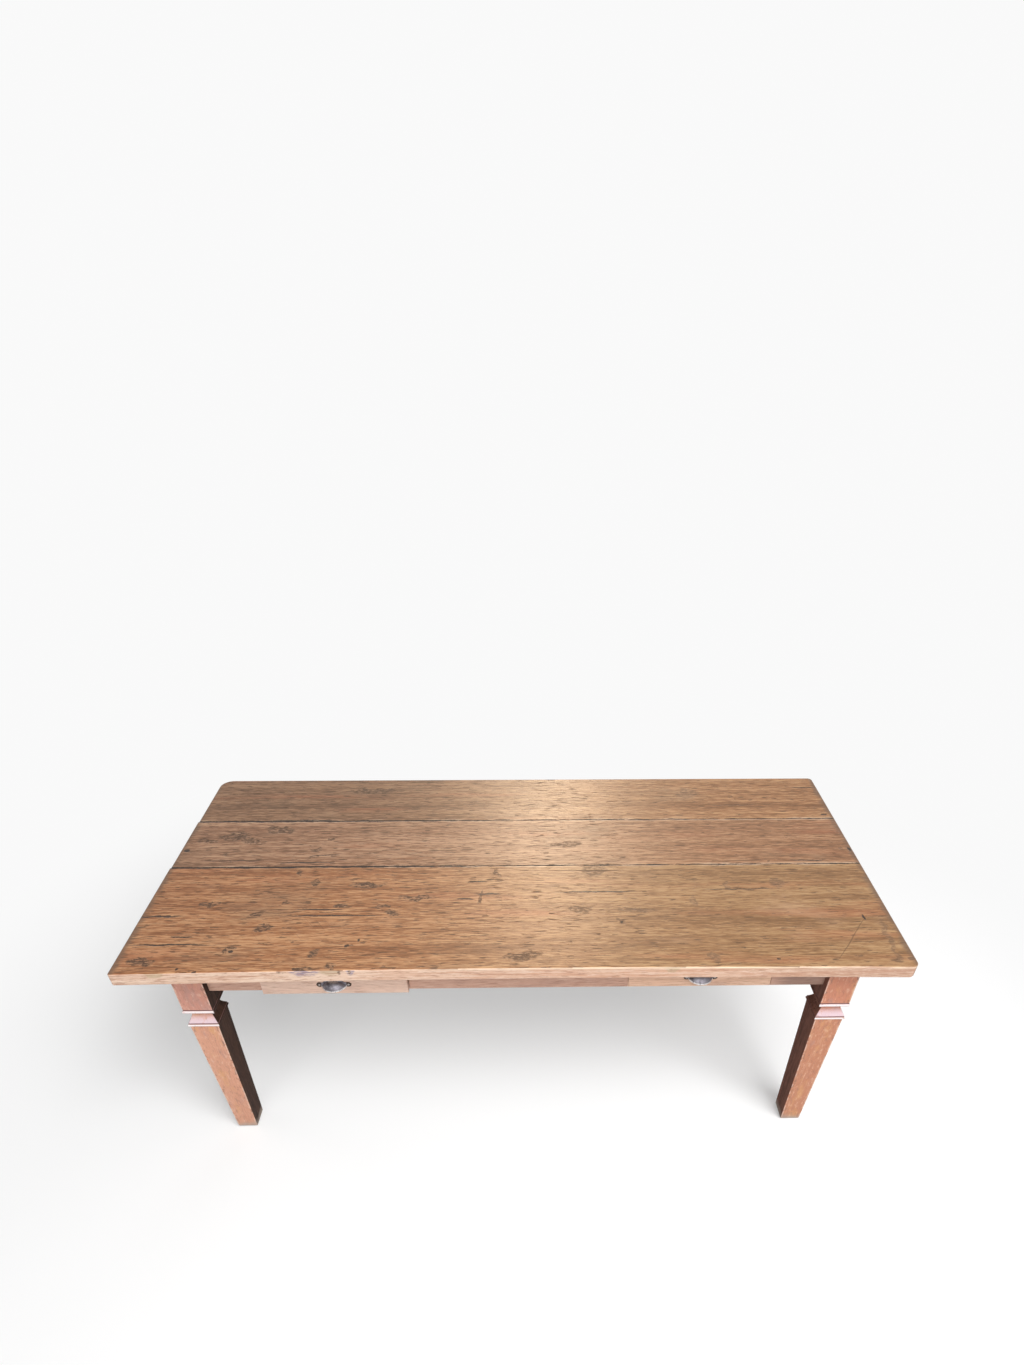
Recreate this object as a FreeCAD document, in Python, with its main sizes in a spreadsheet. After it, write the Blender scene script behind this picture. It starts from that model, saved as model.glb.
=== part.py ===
import FreeCAD, Part
import math
import operator
import os
from types import SimpleNamespace

import Sketcher

# Farmhouse table: a three-board plank top on a joined underframe with moulded, tapered legs,
# and two drawers that slide out of notches in the front apron. Front is -Y, up is +Z, and the
# origin is on the floor under the middle of the top.

# Driving sizes in millimetres
SIZES = {
    # whole table
    "table_height": 780,
    "top_length": 2080,
    "top_depth": 950,
    "top_thickness": 40,
    "overrun": 5,
    "joint_clearance": 0.2,
    # boards of the top
    "middle_board_width": 246,
    "back_board_width": 259,
    "board_gap": 0.8,
    "front_hollow": 10,
    "front_left_corner": 6,
    "front_right_corner": 20,
    "back_left_corner": 40,
    "back_right_corner": 15,
    "middle_left_trim": 3,
    "back_left_trim": 6,
    "upper_arris": 4,
    "lower_arris": 2.5,
    "joint_arris": 1.2,
    "tongue_thickness": 10,
    "tongue_width": 24,
    "tongue_end_margin": 60,
    # legs
    "end_overhang": 108,
    "side_overhang": 63,
    "leg_width": 84,
    "foot_width": 62,
    "block_height": 165,
    "quirk_height": 3,
    "quirk_depth": 3,
    "bead_height": 11,
    "bead_proud": 1.5,
    "cove_height": 42,
    "cove_depth": 16,
    "lower_bead_height": 9,
    "taper_step": 1.5,
    "leg_arris": 2.5,
    "foot_wear": 9,
    # aprons and their tenons
    "apron_height": 110,
    "apron_thickness": 25,
    "apron_setback": 20,
    "apron_strip": 25,
    "apron_arris": 2,
    "tenon_thickness": 10,
    "tenon_shoulder": 18,
    "mortise_wall": 4,
    # battens and kickers
    "batten_width": 60,
    "batten_thickness": 25,
    "end_batten_space": 102,
    "batten_chamfer": 6,
    "screw_margin": 50,
    # wood screws
    "screw_radius": 2.2,
    "screw_head_radius": 4.6,
    "screw_head_height": 2.8,
    "screw_bite": 22,
    "screw_clearance": 0.2,
    # wooden buttons that hold the top down
    "button_place_end": 190,
    "button_length": 46,
    "button_reach": 38,
    "button_thickness": 22,
    "button_tongue": 10,
    "button_tongue_thickness": 9,
    "slot_room": 3,
    # drawers
    "drawer_end_space": 149,
    "drawer_opening": 398,
    "drawer_depth": 460,
    "drawer_gap": 1,
    "left_drawer_out": 14,
    "front_thickness": 22,
    "front_lap": 8,
    "front_arris": 1.5,
    "side_thickness": 12,
    "side_height": 60,
    "back_thickness": 12,
    "bottom_thickness": 6,
    "bottom_lift": 8,
    "bottom_groove": 5,
    # runners and stops
    "runner_lift": 5,
    "runner_web": 30,
    "runner_ledge": 28,
    "ledge_thickness": 16,
    "running_clearance": 0.3,
    "stub_length": 10,
    "stub_shoulder": 7,
    "stop_length": 25,
    "stop_width": 20,
    "stop_height": 22,
    "stop_clearance": 0.3,
    # cup pulls
    "pull_rise": 28,
    "cup_width": 68,
    "cup_height": 24,
    "cup_wall": 2,
    "plate_width": 94,
    "plate_thickness": 1.6,
    "plate_rim": 4,
    "ear_height": 16,
    "pull_screw_radius": 1.8,
    "pull_screw_head_radius": 3.6,
    "pull_screw_head_height": 2.2,
    "pull_screw_bite": 15,
}

# Low and high edge of each dovetail, and how much it narrows at its root, as shares of the height
TAIL_SHARES = ((0.08, 0.44), (0.56, 0.92))
TAIL_FLARE_SHARE = 0.05
# Half width of the pull's arched back plate, as a share of the cup's half width
ARCH_SHARE = 0.86
# Outer end of a screw head, as a share of its radius
DOME_SHARE = 0.6

# Ways that an arc turns, and the turn of a cup pull's shell in degrees
LEFT = 1
RIGHT = -1
QUARTER_TURN = 90
OPERATIONS = {"+": operator.add, "-": operator.sub, "*": operator.mul, "/": operator.truediv}


class Length:
    """A length in millimetres, with the expression that ties it to the sheet."""

    def __init__(self, number, text):
        self.number = number
        self.text = text

    def __add__(self, other):
        return combined(self, "+", other)

    def __radd__(self, other):
        return combined(other, "+", self)

    def __sub__(self, other):
        return combined(self, "-", other)

    def __rsub__(self, other):
        return combined(other, "-", self)

    def __mul__(self, other):
        return combined(self, "*", other)

    def __rmul__(self, other):
        return combined(other, "*", self)

    def __truediv__(self, other):
        return combined(self, "/", other)

    def __neg__(self):
        return combined(-1, "*", self)


def as_length(value):
    """The value itself, or a plain number as a length."""
    return value if isinstance(value, Length) else Length(value, repr(value))


def combined(left, sign, right):
    """The sum, difference, product or quotient of two lengths or numbers."""
    first = as_length(left)
    second = as_length(right)
    return Length(OPERATIONS[sign](first.number, second.number), f"({first.text} {sign} {second.text})")


# Document, sheet and the sizes that several pieces share

doc = FreeCAD.newDocument("farmhouse_table")
sheet = doc.addObject("Spreadsheet::Sheet", "sizes")
for row, (alias, number) in enumerate(SIZES.items(), start=1):
    sheet.set(f"A{row}", alias)
    sheet.set(f"B{row}", str(number))
    sheet.setAlias(f"B{row}", alias)
doc.recompute()

size = SimpleNamespace(**{alias: Length(number, f"sizes.{alias}") for alias, number in SIZES.items()})
nodes = []

half_length = size.top_length / 2
half_depth = size.top_depth / 2
underside = size.table_height - size.top_thickness
back_joint = half_depth - size.back_board_width
front_joint = back_joint - size.middle_board_width

leg_half = size.leg_width / 2
leg_x = half_length - size.end_overhang - leg_half
leg_y = half_depth - size.side_overhang - leg_half
shoulder_x = leg_x - leg_half
shoulder_y = leg_y - leg_half
block_bottom = underside - size.block_height

apron_low = underside - size.apron_height
long_apron_y = leg_y + leg_half - size.apron_setback - size.apron_thickness / 2
end_apron_x = leg_x + leg_half - size.apron_setback - size.apron_thickness / 2
tenon_length = (
    size.leg_width
    - size.apron_setback
    - size.apron_thickness / 2
    - size.tenon_thickness / 2
    - size.mortise_wall
)
apron_inside = size.apron_thickness / 2
inner_x = end_apron_x - apron_inside
inner_y = long_apron_y - apron_inside
tenon_half = size.tenon_thickness / 2
tenon_low = size.tenon_shoulder
tenon_high = size.apron_height - size.tenon_shoulder

button_low = size.apron_height - size.button_thickness
button_tongue_top = button_low + size.button_tongue_thickness

opening_half = size.drawer_opening / 2
notch_far = shoulder_x - size.drawer_end_space
notch_near = notch_far - size.drawer_opening
drawer_centre = notch_far - opening_half
opening_height = size.apron_height - size.apron_strip
ledge_top = size.runner_lift + size.ledge_thickness
stub_low = size.runner_lift + size.stub_shoulder
stub_high = opening_height - size.stub_shoulder
stub_inner = size.stub_shoulder
stub_outer = size.runner_web - size.stub_shoulder


# Ways of making a piece

def new_body(label, x=0, y=0, z=0):
    """An empty body that stands at the given place and is handed in under its label."""
    body = doc.addObject("PartDesign::Body", label)
    body.Label = label
    place(body, x, y, z)
    nodes.append(body)
    return body


def place(item, x, y, z):
    """Ties an object's place to the sheet."""
    for axis, distance in zip("xyz", (x, y, z)):
        item.setExpression(f"Placement.Base.{axis}", as_length(distance).text)


def bind(item, **lengths):
    """Ties an object's own sizes to the sheet."""
    for name, value in lengths.items():
        item.setExpression(name, as_length(value).text)


def plus_minus(side, low, high):
    """The stretch from low to high, or its mirror image for side -1."""
    return (low, high) if side > 0 else (-high, -low)


def block(body, kind, name, across, along, up):
    """Adds or cuts a rectangular block between (low, high) on each axis."""
    feature = body.newObject(f"PartDesign::{kind}Box", name)
    bind(
        feature,
        Length=across[1] - across[0],
        Width=along[1] - along[0],
        Height=up[1] - up[0],
    )
    place(feature, across[0], along[0], up[0])
    return finished(body, kind == "Additive")


def finished(body, grows):
    """Recomputes the body and makes sure that its last feature changed it as it should."""
    doc.recompute()
    feature = body.Tip
    base = feature.BaseFeature
    before = base.Shape.Volume if base is not None else 0
    change = feature.Shape.Volume - before
    if (change > 0) is not grows:
        raise RuntimeError(f"{body.Label}: {feature.Name} changed nothing")
    return feature


def new_sketch(body, name, role, lift):
    """An empty sketch on one of the body's own planes, lifted along the plane's normal."""
    sketch = body.newObject("Sketcher::SketchObject", name)
    plane = next(item for item in body.Origin.OriginFeatures if item.Role == role)
    sketch.AttachmentSupport = (plane, [""])
    sketch.MapMode = "FlatFace"
    sketch.setExpression("AttachmentOffset.Base.z", as_length(lift).text)
    return sketch


def arc_between(here, there, radius, turn):
    """The shorter arc from here to there that turns left or right, and which ends it has."""
    chord = there - here
    reach = math.sqrt(radius * radius - chord.Length * chord.Length / 4)
    leftward = FreeCAD.Vector(-chord.y, chord.x, 0).normalize()
    centre = (here + there) / 2 + leftward * (turn * reach)
    first, last = (here, there) if turn == LEFT else (there, here)
    angles = [math.atan2(point.y - centre.y, point.x - centre.x) for point in (first, last)]
    circle = Part.Circle(centre, FreeCAD.Vector(0, 0, 1), radius)
    return Part.ArcOfCircle(circle, angles[0], angles[1])


def draw_loop(sketch, corners):
    """A closed loop; a corner is (across, up), or (across, up, radius, turn) where an arc leaves it."""
    corners = [tuple(as_length(value) for value in corner[:3]) + corner[3:] for corner in corners]
    points = [FreeCAD.Vector(corner[0].number, corner[1].number, 0) for corner in corners]
    first_edge = sketch.GeometryCount
    first_rule = sketch.ConstraintCount
    edges = []
    ends = []
    for corner, here, there in zip(corners, points, points[1:] + points[:1]):
        if len(corner) == 2:
            edges.append(Part.LineSegment(here, there))
            ends.append((1, 2))
        else:
            edges.append(arc_between(here, there, corner[2].number, corner[3]))
            ends.append((1, 2) if corner[3] == LEFT else (2, 1))
    rules = []
    bound = []
    for number, corner in enumerate(corners):
        edge = first_edge + number
        previous = first_edge + (number - 1) % len(corners)
        start = ends[number][0]
        rules.append(Sketcher.Constraint("Coincident", previous, ends[number - 1][1], edge, start))
        for kind, value in zip(("DistanceX", "DistanceY"), corner):
            bound.append((first_rule + len(rules), value))
            rules.append(Sketcher.Constraint(kind, -1, 1, edge, start, value.number))
        if len(corner) > 2:
            bound.append((first_rule + len(rules), corner[2]))
            rules.append(Sketcher.Constraint("Radius", edge, corner[2].number))
    sketch.addGeometry(edges, False)
    sketch.addConstraint(rules)
    for index, value in bound:
        sketch.setExpression(f"Constraints[{index}]", value.text)


def draw_circles(sketch, centres, radius):
    """Equal circles about the given centres."""
    for centre in centres:
        across = as_length(centre[0])
        up = as_length(centre[1])
        middle = FreeCAD.Vector(across.number, up.number, 0)
        edge = sketch.addGeometry(Part.Circle(middle, FreeCAD.Vector(0, 0, 1), radius.number), False)
        rules = (
            (Sketcher.Constraint("DistanceX", -1, 1, edge, 3, across.number), across),
            (Sketcher.Constraint("DistanceY", -1, 1, edge, 3, up.number), up),
            (Sketcher.Constraint("Radius", edge, radius.number), radius),
        )
        for rule, value in rules:
            index = sketch.addConstraint(rule)
            sketch.setExpression(f"Constraints[{index}]", value.text)


def extrude(body, kind, sketch, depth, both_ways=False, reverse=False):
    """Pads or pockets a sketch along its plane's normal, or half of the depth each way."""
    feature = body.newObject(f"PartDesign::{kind}", f"{sketch.Name}_{kind.lower()}")
    feature.Profile = sketch
    feature.SideType = "Symmetric" if both_ways else "One side"
    feature.Reversed = reverse
    bind(feature, Length=depth)
    return finished(body, kind == "Pad")


def drill(body, name, role, lift, centres, radius, depth, reverse=False):
    """Round holes that run from the lifted plane into the body."""
    sketch = new_sketch(body, name, role, lift)
    draw_circles(sketch, centres, radius)
    return extrude(body, "Pocket", sketch, depth, reverse=reverse)


def ease(body, name, radius, wanted):
    """Rounds the edges of the body that the test picks."""
    doc.recompute()
    base = body.Tip
    names = [f"Edge{number}" for number, edge in enumerate(base.Shape.Edges, start=1) if wanted(edge)]
    feature = body.newObject("PartDesign::Fillet", name)
    feature.Base = (base, names)
    bind(feature, Radius=radius)
    return finished(body, False)


def lies_at(edge, axis, distance):
    """Whether the whole edge lies at that distance along the axis."""
    tolerance_share = 1e-6
    box = edge.BoundBox
    low = getattr(box, f"{axis.upper()}Min")
    high = getattr(box, f"{axis.upper()}Max")
    reach = tolerance_share * size.top_length.number
    return abs(low - distance.number) < reach and abs(high - distance.number) < reach


def screw(name, seat, direction, radius, head_radius, head_height, length):
    """A round-headed wood screw whose head sits on the seat and whose shank runs along direction."""
    shank = doc.addObject("Part::Cylinder", f"{name}_shank")
    bind(shank, Radius=radius, Height=length)
    head = doc.addObject("Part::Cone", f"{name}_head")
    bind(head, Radius1=head_radius, Radius2=head_radius * DOME_SHARE, Height=head_height)
    upward = FreeCAD.Vector(0, 0, 1)
    shank.Placement.Rotation = FreeCAD.Rotation(upward, direction)
    head.Placement.Rotation = FreeCAD.Rotation(upward, -direction)
    for item in (shank, head):
        place(item, *seat)
    whole = doc.addObject("Part::Fuse", name)
    whole.Base = shank
    whole.Tool = head
    return whole


def group(label, items):
    """Loose like pieces that are handed in under one label."""
    compound = doc.addObject("Part::Compound", label)
    compound.Label = label
    compound.Links = items
    nodes.append(compound)


# Places of the screws under the top: battens, kickers and buttons

batten_half = inner_y - size.joint_clearance
end_batten_x = inner_x - size.end_batten_space
batten_places = {
    "top_batten_left": -end_batten_x,
    "drawer_kicker_left": -drawer_centre,
    "top_batten_middle": as_length(0),
    "drawer_kicker_right": drawer_centre,
    "top_batten_right": end_batten_x,
}
board_screw_rows = {
    "front": (size.screw_margin - batten_half, front_joint - size.screw_margin),
    "middle": (front_joint + size.screw_margin, back_joint - size.screw_margin),
    "back": (back_joint + size.screw_margin, batten_half - size.screw_margin),
}
button_x = (notch_near - size.runner_web + size.batten_width / 2) / 2
button_screw_y = inner_y - size.button_reach / 2
button_screw_x = inner_x - size.button_reach / 2
button_screw_places = {
    "front": [(side * button_x, -button_screw_y) for side in (-1, 1)],
    "middle": [],
    "back": [(side * button_x, button_screw_y) for side in (-1, 1)],
}
for side in (-1, 1):
    button_screw_places["front"].append((side * button_screw_x, -size.button_place_end))
    button_screw_places["back" if size.button_place_end.number > back_joint.number else "middle"].append(
        (side * button_screw_x, size.button_place_end)
    )
pilot_radius = size.screw_radius + size.screw_clearance


# Top boards: planks with eased arrises, worn hollow along the front and cut round at the corners

def top_board(label, low, high, outline, grooves):
    """One plank from its outline, with a stopped groove in each joint edge and pilot holes below."""
    body = new_body(label, 0, 0, underside)
    sketch = new_sketch(body, f"{label}_outline", "XY_Plane", 0)
    draw_loop(sketch, outline)
    extrude(body, "Pad", sketch, size.top_thickness)
    middle = size.top_thickness / 2
    groove_half = size.tongue_thickness / 2 + size.joint_clearance
    groove_reach = half_length - size.tongue_end_margin + size.joint_clearance
    groove_depth = (size.tongue_width - size.board_gap) / 2 + size.joint_clearance
    across = (-groove_reach, groove_reach)
    up = (middle - groove_half, middle + groove_half)
    for name, along in grooves(groove_depth).items():
        block(body, "Subtractive", f"{label}_{name}", across, along, up)
    row = label.replace("top_board_", "")
    holes = [(x, y) for x in batten_places.values() for y in board_screw_rows[row]]
    holes += button_screw_places[row]
    depth = size.screw_bite + size.screw_clearance
    drill(body, f"{label}_pilots", "XY_Plane", 0, holes, pilot_radius, depth, reverse=True)
    joint_edges = [edge for edge in (low, high) if abs(edge.number) < half_depth.number]

    def outer(edge, level):
        on_joint = any(lies_at(edge, "y", joint) for joint in joint_edges)
        is_hole = edge.Closed
        return lies_at(edge, "z", level) and not on_joint and not is_hole

    ease(body, f"{label}_upper_arris", size.upper_arris, lambda edge: outer(edge, size.top_thickness))
    ease(body, f"{label}_lower_arris", size.lower_arris, lambda edge: outer(edge, as_length(0)))

    def joint_arris(edge):
        on_joint = any(lies_at(edge, "y", joint) for joint in joint_edges)
        return on_joint and lies_at(edge, "z", size.top_thickness)

    ease(body, f"{label}_joint_arris", size.joint_arris, joint_arris)


front_chord_half = (size.top_length - size.front_left_corner - size.front_right_corner) / 2
hollow_radius = (front_chord_half * front_chord_half + size.front_hollow * size.front_hollow) / (
    size.front_hollow * 2
)
front_high = front_joint - size.board_gap / 2
top_board(
    "top_board_front",
    -half_depth,
    front_high,
    [
        (size.front_left_corner - half_length, -half_depth, hollow_radius, RIGHT),
        (half_length - size.front_right_corner, -half_depth, size.front_right_corner, LEFT),
        (half_length, size.front_right_corner - half_depth),
        (half_length, front_high),
        (-half_length, front_high),
        (-half_length, size.front_left_corner - half_depth, size.front_left_corner, LEFT),
    ],
    lambda depth: {"groove": (front_high - depth, front_high + size.overrun)},
)

middle_low = front_joint + size.board_gap / 2
middle_high = back_joint - size.board_gap / 2
middle_left = size.middle_left_trim - half_length
top_board(
    "top_board_middle",
    middle_low,
    middle_high,
    [
        (middle_left, middle_low),
        (half_length, middle_low),
        (half_length, middle_high),
        (middle_left, middle_high),
    ],
    lambda depth: {
        "front_groove": (middle_low - size.overrun, middle_low + depth),
        "back_groove": (middle_high - depth, middle_high + size.overrun),
    },
)

back_low = back_joint + size.board_gap / 2
back_left = size.back_left_trim - half_length
top_board(
    "top_board_back",
    back_low,
    half_depth,
    [
        (back_left, back_low),
        (half_length, back_low),
        (half_length, half_depth - size.back_right_corner, size.back_right_corner, LEFT),
        (half_length - size.back_right_corner, half_depth),
        (back_left + size.back_left_corner, half_depth, size.back_left_corner, LEFT),
        (back_left, half_depth - size.back_left_corner),
    ],
    lambda depth: {"groove": (back_low - size.overrun, back_low + depth)},
)

# Loose tongues, which lie in the grooves of two boards and stop short of the ends

tongue_reach = half_length - size.tongue_end_margin
for label, joint in (("top_tongue_front", front_joint), ("top_tongue_back", back_joint)):
    tongue = new_body(label, 0, joint, underside + size.top_thickness / 2)
    block(
        tongue,
        "Additive",
        f"{label}_strip",
        (-tongue_reach, tongue_reach),
        (-size.tongue_width / 2, size.tongue_width / 2),
        (-size.tongue_thickness / 2, size.tongue_thickness / 2),
    )

# Battens across the boards, and the kickers over the drawers, all screwed up from below

batten_low = underside - size.batten_thickness
batten_rows = [y for rows in board_screw_rows.values() for y in rows]
batten_screws = []
for label, x in batten_places.items():
    batten = new_body(label, x, 0, batten_low)
    profile = new_sketch(batten, f"{label}_profile", "YZ_Plane", 0)
    draw_loop(
        profile,
        [
            (size.batten_chamfer - batten_half, 0),
            (batten_half - size.batten_chamfer, 0),
            (batten_half, size.batten_chamfer),
            (batten_half, size.batten_thickness),
            (-batten_half, size.batten_thickness),
            (-batten_half, size.batten_chamfer),
        ],
    )
    extrude(batten, "Pad", profile, size.batten_width, both_ways=True)
    holes = [(0, y) for y in batten_rows]
    depth = size.batten_thickness + size.overrun
    drill(batten, f"{label}_holes", "XY_Plane", 0, holes, pilot_radius, depth, reverse=True)
    for number, y in enumerate(batten_rows, start=1):
        batten_screws.append(
            screw(
                f"{label}_screw_{number}",
                (x, y, batten_low),
                FreeCAD.Vector(0, 0, 1),
                size.screw_radius,
                size.screw_head_radius,
                size.screw_head_height,
                size.batten_thickness + size.screw_bite,
            )
        )
group("batten_screws", batten_screws)


# Legs: a plain block, a moulded neck worked on all four faces, and a taper down to a worn foot

def leg_silhouette(low, high):
    """The leg's outline as seen on any of its faces, from low to high."""
    bead_radius = arch_radius(size.bead_height / 2, size.bead_proud)
    lower_bead_radius = arch_radius(size.lower_bead_height / 2, size.bead_proud)
    cove_radius = arch_radius(size.cove_height, size.cove_depth)
    upper_quirk = block_bottom - size.quirk_height
    bead_low = upper_quirk - size.bead_height
    cove_low = bead_low - size.cove_height
    lower_bead_high = cove_low - size.quirk_height
    taper_top = lower_bead_high - size.lower_bead_height
    foot_half = size.foot_width / 2
    neck = leg_half - size.quirk_depth
    right_side = [
        (foot_half, low),
        (foot_half, as_length(0)),
        (leg_half - size.taper_step, taper_top),
        (leg_half, taper_top, lower_bead_radius, LEFT),
        (leg_half, lower_bead_high),
        (neck, lower_bead_high + size.quirk_height / 2),
        (leg_half, cove_low, cove_radius, RIGHT),
        (leg_half - size.cove_depth, bead_low),
        (leg_half, bead_low, bead_radius, LEFT),
        (leg_half, upper_quirk),
        (neck, upper_quirk + size.quirk_height / 2),
        (leg_half, block_bottom),
        (leg_half, high),
    ]
    if low.number == 0:
        right_side = right_side[1:]
    left_side = []
    for number in range(len(right_side) - 1, -1, -1):
        corner = (-right_side[number][0], right_side[number][1])
        arriving = right_side[number - 1][2:] if number > 0 else ()
        left_side.append(corner + arriving)
    return right_side + left_side


def arch_radius(half_chord, rise):
    """Radius of the arc that rises so far over half of its chord."""
    return (half_chord * half_chord + rise * rise) / (rise * 2)


def leg(label, side_x, side_y):
    """One leg; the signs say which corner of the table it stands at."""
    body = new_body(label, side_x * leg_x, side_y * leg_y, 0)
    face = new_sketch(body, f"{label}_front_face", "XZ_Plane", 0)
    draw_loop(face, leg_silhouette(as_length(0), underside))
    extrude(body, "Pad", face, size.leg_width + size.overrun * 2, both_ways=True)
    waste = new_sketch(body, f"{label}_side_waste", "YZ_Plane", 0)
    reach = leg_half + size.overrun * 2
    low = -size.overrun
    high = underside + size.overrun
    floor = low - size.overrun
    ceiling = high + size.overrun
    draw_loop(waste, [(-reach, floor), (reach, floor), (reach, ceiling), (-reach, ceiling)])
    draw_loop(waste, leg_silhouette(low, high))
    extrude(body, "Pocket", waste, reach * 2, both_ways=True)
    inner = (-leg_half - size.overrun, tenon_length - leg_half + size.joint_clearance)
    offset = long_apron_y - leg_y
    mortise_half = tenon_half + size.joint_clearance
    width = (offset - mortise_half, offset + mortise_half)
    up = (apron_low + tenon_low - size.joint_clearance, apron_low + tenon_high + size.joint_clearance)
    for name, across, along in (("long", inner, width), ("end", width, inner)):
        spans = (plus_minus(side_x, *across), plus_minus(side_y, *along), up)
        block(body, "Subtractive", f"{label}_{name}_mortise", *spans)
    ease(body, f"{label}_foot_wear", size.foot_wear, lambda edge: lies_at(edge, "z", as_length(0)))

    def corner_arris(edge):
        box = edge.BoundBox
        tall = box.ZLength > size.cove_height.number * 2
        centre = box.Center
        outside = min(abs(centre.x), abs(centre.y)) > size.foot_width.number / 2
        return tall and outside

    ease(body, f"{label}_arris", size.leg_arris, corner_arris)


SIDES = {"left": -1, "right": 1}
for depth_name, side_y in (("front", -1), ("back", 1)):
    for side_name, side_x in SIDES.items():
        leg(f"leg_{depth_name}_{side_name}", side_x, side_y)


# Aprons: boards tenoned into the legs, with slots for the buttons and stub mortises for the runners

def apron_slots(body, label, places, inward, along_x):
    """Slots on the inner face that the buttons' tongues go into."""
    depth = (apron_inside - size.button_tongue - size.joint_clearance, apron_inside + size.overrun)
    up = (button_low - size.slot_room, button_tongue_top)
    half = size.button_length / 2 + size.slot_room
    for number, centre in enumerate(places, start=1):
        run = (centre - half, centre + half)
        thick = plus_minus(inward, *depth)
        across, along = (run, thick) if along_x else (thick, run)
        block(body, "Subtractive", f"{label}_slot_{number}", across, along, up)


def tenons(body, label, reach, along_x):
    """A tenon on each end of an apron whose shoulders are at the given reach."""
    thick = (-tenon_half, tenon_half)
    for number, side in enumerate((-1, 1), start=1):
        run = plus_minus(side, reach, reach + tenon_length)
        across, along = (run, thick) if along_x else (thick, run)
        block(body, "Additive", f"{label}_tenon_{number}", across, along, (tenon_low, tenon_high))


def runner_faces():
    """The guide faces of the four runners, with the way in which each one's web lies from its face."""
    return [
        (f"drawer_runner_{drawer}_{name}", side * drawer_centre + way * opening_half, way)
        for drawer, side in SIDES.items()
        for name, way in (("inner", -side), ("outer", side))
    ]


def long_apron(label, side_y, outline):
    """The front or the back apron, from its outline as seen from the front."""
    body = new_body(label, 0, side_y * long_apron_y, apron_low)
    sketch = new_sketch(body, f"{label}_outline", "XZ_Plane", 0)
    draw_loop(sketch, outline)
    extrude(body, "Pad", sketch, size.apron_thickness, both_ways=True)
    ease_lower_edge(body, label, side_y)
    tenons(body, label, shoulder_x, True)
    places = (-button_x, button_x)
    apron_slots(body, label, places, -side_y, True)
    stub = size.joint_clearance
    depth = (apron_inside - size.stub_length - stub, apron_inside + size.overrun)
    for name, face, way in runner_faces():
        web = plus_minus(way, stub_inner - stub, stub_outer + stub)
        across = (face + web[0], face + web[1])
        up = (stub_low - stub, stub_high + stub)
        block(body, "Subtractive", f"{label}_{name}", across, plus_minus(-side_y, *depth), up)


def ease_lower_edge(body, label, side_y):
    """The outer lower arris of an apron is worn round."""
    outer = side_y * apron_inside

    def worn(edge):
        return lies_at(edge, "y", outer) and lies_at(edge, "z", as_length(0))

    ease(body, f"{label}_arris", size.apron_arris, worn)


long_apron(
    "apron_front",
    -1,
    [
        (-shoulder_x, 0),
        (-notch_far, 0),
        (-notch_far, opening_height),
        (-notch_near, opening_height),
        (-notch_near, 0),
        (notch_near, 0),
        (notch_near, opening_height),
        (notch_far, opening_height),
        (notch_far, 0),
        (shoulder_x, 0),
        (shoulder_x, size.apron_height),
        (-shoulder_x, size.apron_height),
    ],
)
long_apron(
    "apron_back",
    1,
    [
        (-shoulder_x, 0),
        (shoulder_x, 0),
        (shoulder_x, size.apron_height),
        (-shoulder_x, size.apron_height),
    ],
)

for side_name, side_x in SIDES.items():
    label = f"apron_{side_name}"
    end_apron = new_body(label, side_x * end_apron_x, 0, apron_low)
    thick = (-apron_inside, apron_inside)
    run = (-shoulder_y, shoulder_y)
    block(end_apron, "Additive", f"{label}_board", thick, run, (as_length(0), size.apron_height))
    tenons(end_apron, label, shoulder_y, False)
    apron_slots(end_apron, label, (-size.button_place_end, size.button_place_end), -side_x, False)


# Wooden buttons: blocks screwed under the top, each with a tongue that hooks into an apron

def button(name, x, y, inward_x, inward_y):
    """One button whose back meets an apron's inner face at (x, y); inward points away from the apron."""
    half = size.button_length / 2
    reach = size.button_reach
    low = apron_low + button_low
    body_box = doc.addObject("Part::Box", f"{name}_block")
    tongue_box = doc.addObject("Part::Box", f"{name}_tongue")
    for box, run, height in (
        (body_box, (size.joint_clearance, reach), size.button_thickness),
        (tongue_box, (-size.button_tongue, reach / 2), size.button_tongue_thickness),
    ):
        along = plus_minus(inward_x + inward_y, *run)
        if inward_x:
            bind(box, Length=along[1] - along[0], Width=size.button_length, Height=height)
            place(box, x + along[0], y - half, low)
        else:
            bind(box, Length=size.button_length, Width=along[1] - along[0], Height=height)
            place(box, x - half, y + along[0], low)
    hooked = doc.addObject("Part::Fuse", f"{name}_hooked")
    hooked.Base = body_box
    hooked.Tool = tongue_box
    hole = doc.addObject("Part::Cylinder", f"{name}_hole")
    bind(hole, Radius=pilot_radius, Height=size.button_thickness + size.overrun * 2)
    seat_x = x + inward_x * reach / 2
    seat_y = y + inward_y * reach / 2
    place(hole, seat_x, seat_y, low - size.overrun)
    drilled = doc.addObject("Part::Cut", name)
    drilled.Base = hooked
    drilled.Tool = hole
    fixing = screw(
        f"{name}_screw",
        (seat_x, seat_y, low),
        FreeCAD.Vector(0, 0, 1),
        size.screw_radius,
        size.screw_head_radius,
        size.screw_head_height,
        size.button_thickness + size.screw_bite,
    )
    return drilled, fixing


button_faces = []
for side in (-1, 1):
    for way in (-1, 1):
        button_faces.append((way * button_x, side * inner_y, 0, -side))
        button_faces.append((side * inner_x, way * size.button_place_end, -side, 0))
made_buttons = [button(f"button_{number}", *face) for number, face in enumerate(button_faces, start=1)]
group("top_buttons", [pair[0] for pair in made_buttons])
group("button_screws", [pair[1] for pair in made_buttons])

# Drawer runners: L-shaped rails between the front and back aprons, and a stop on each

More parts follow.
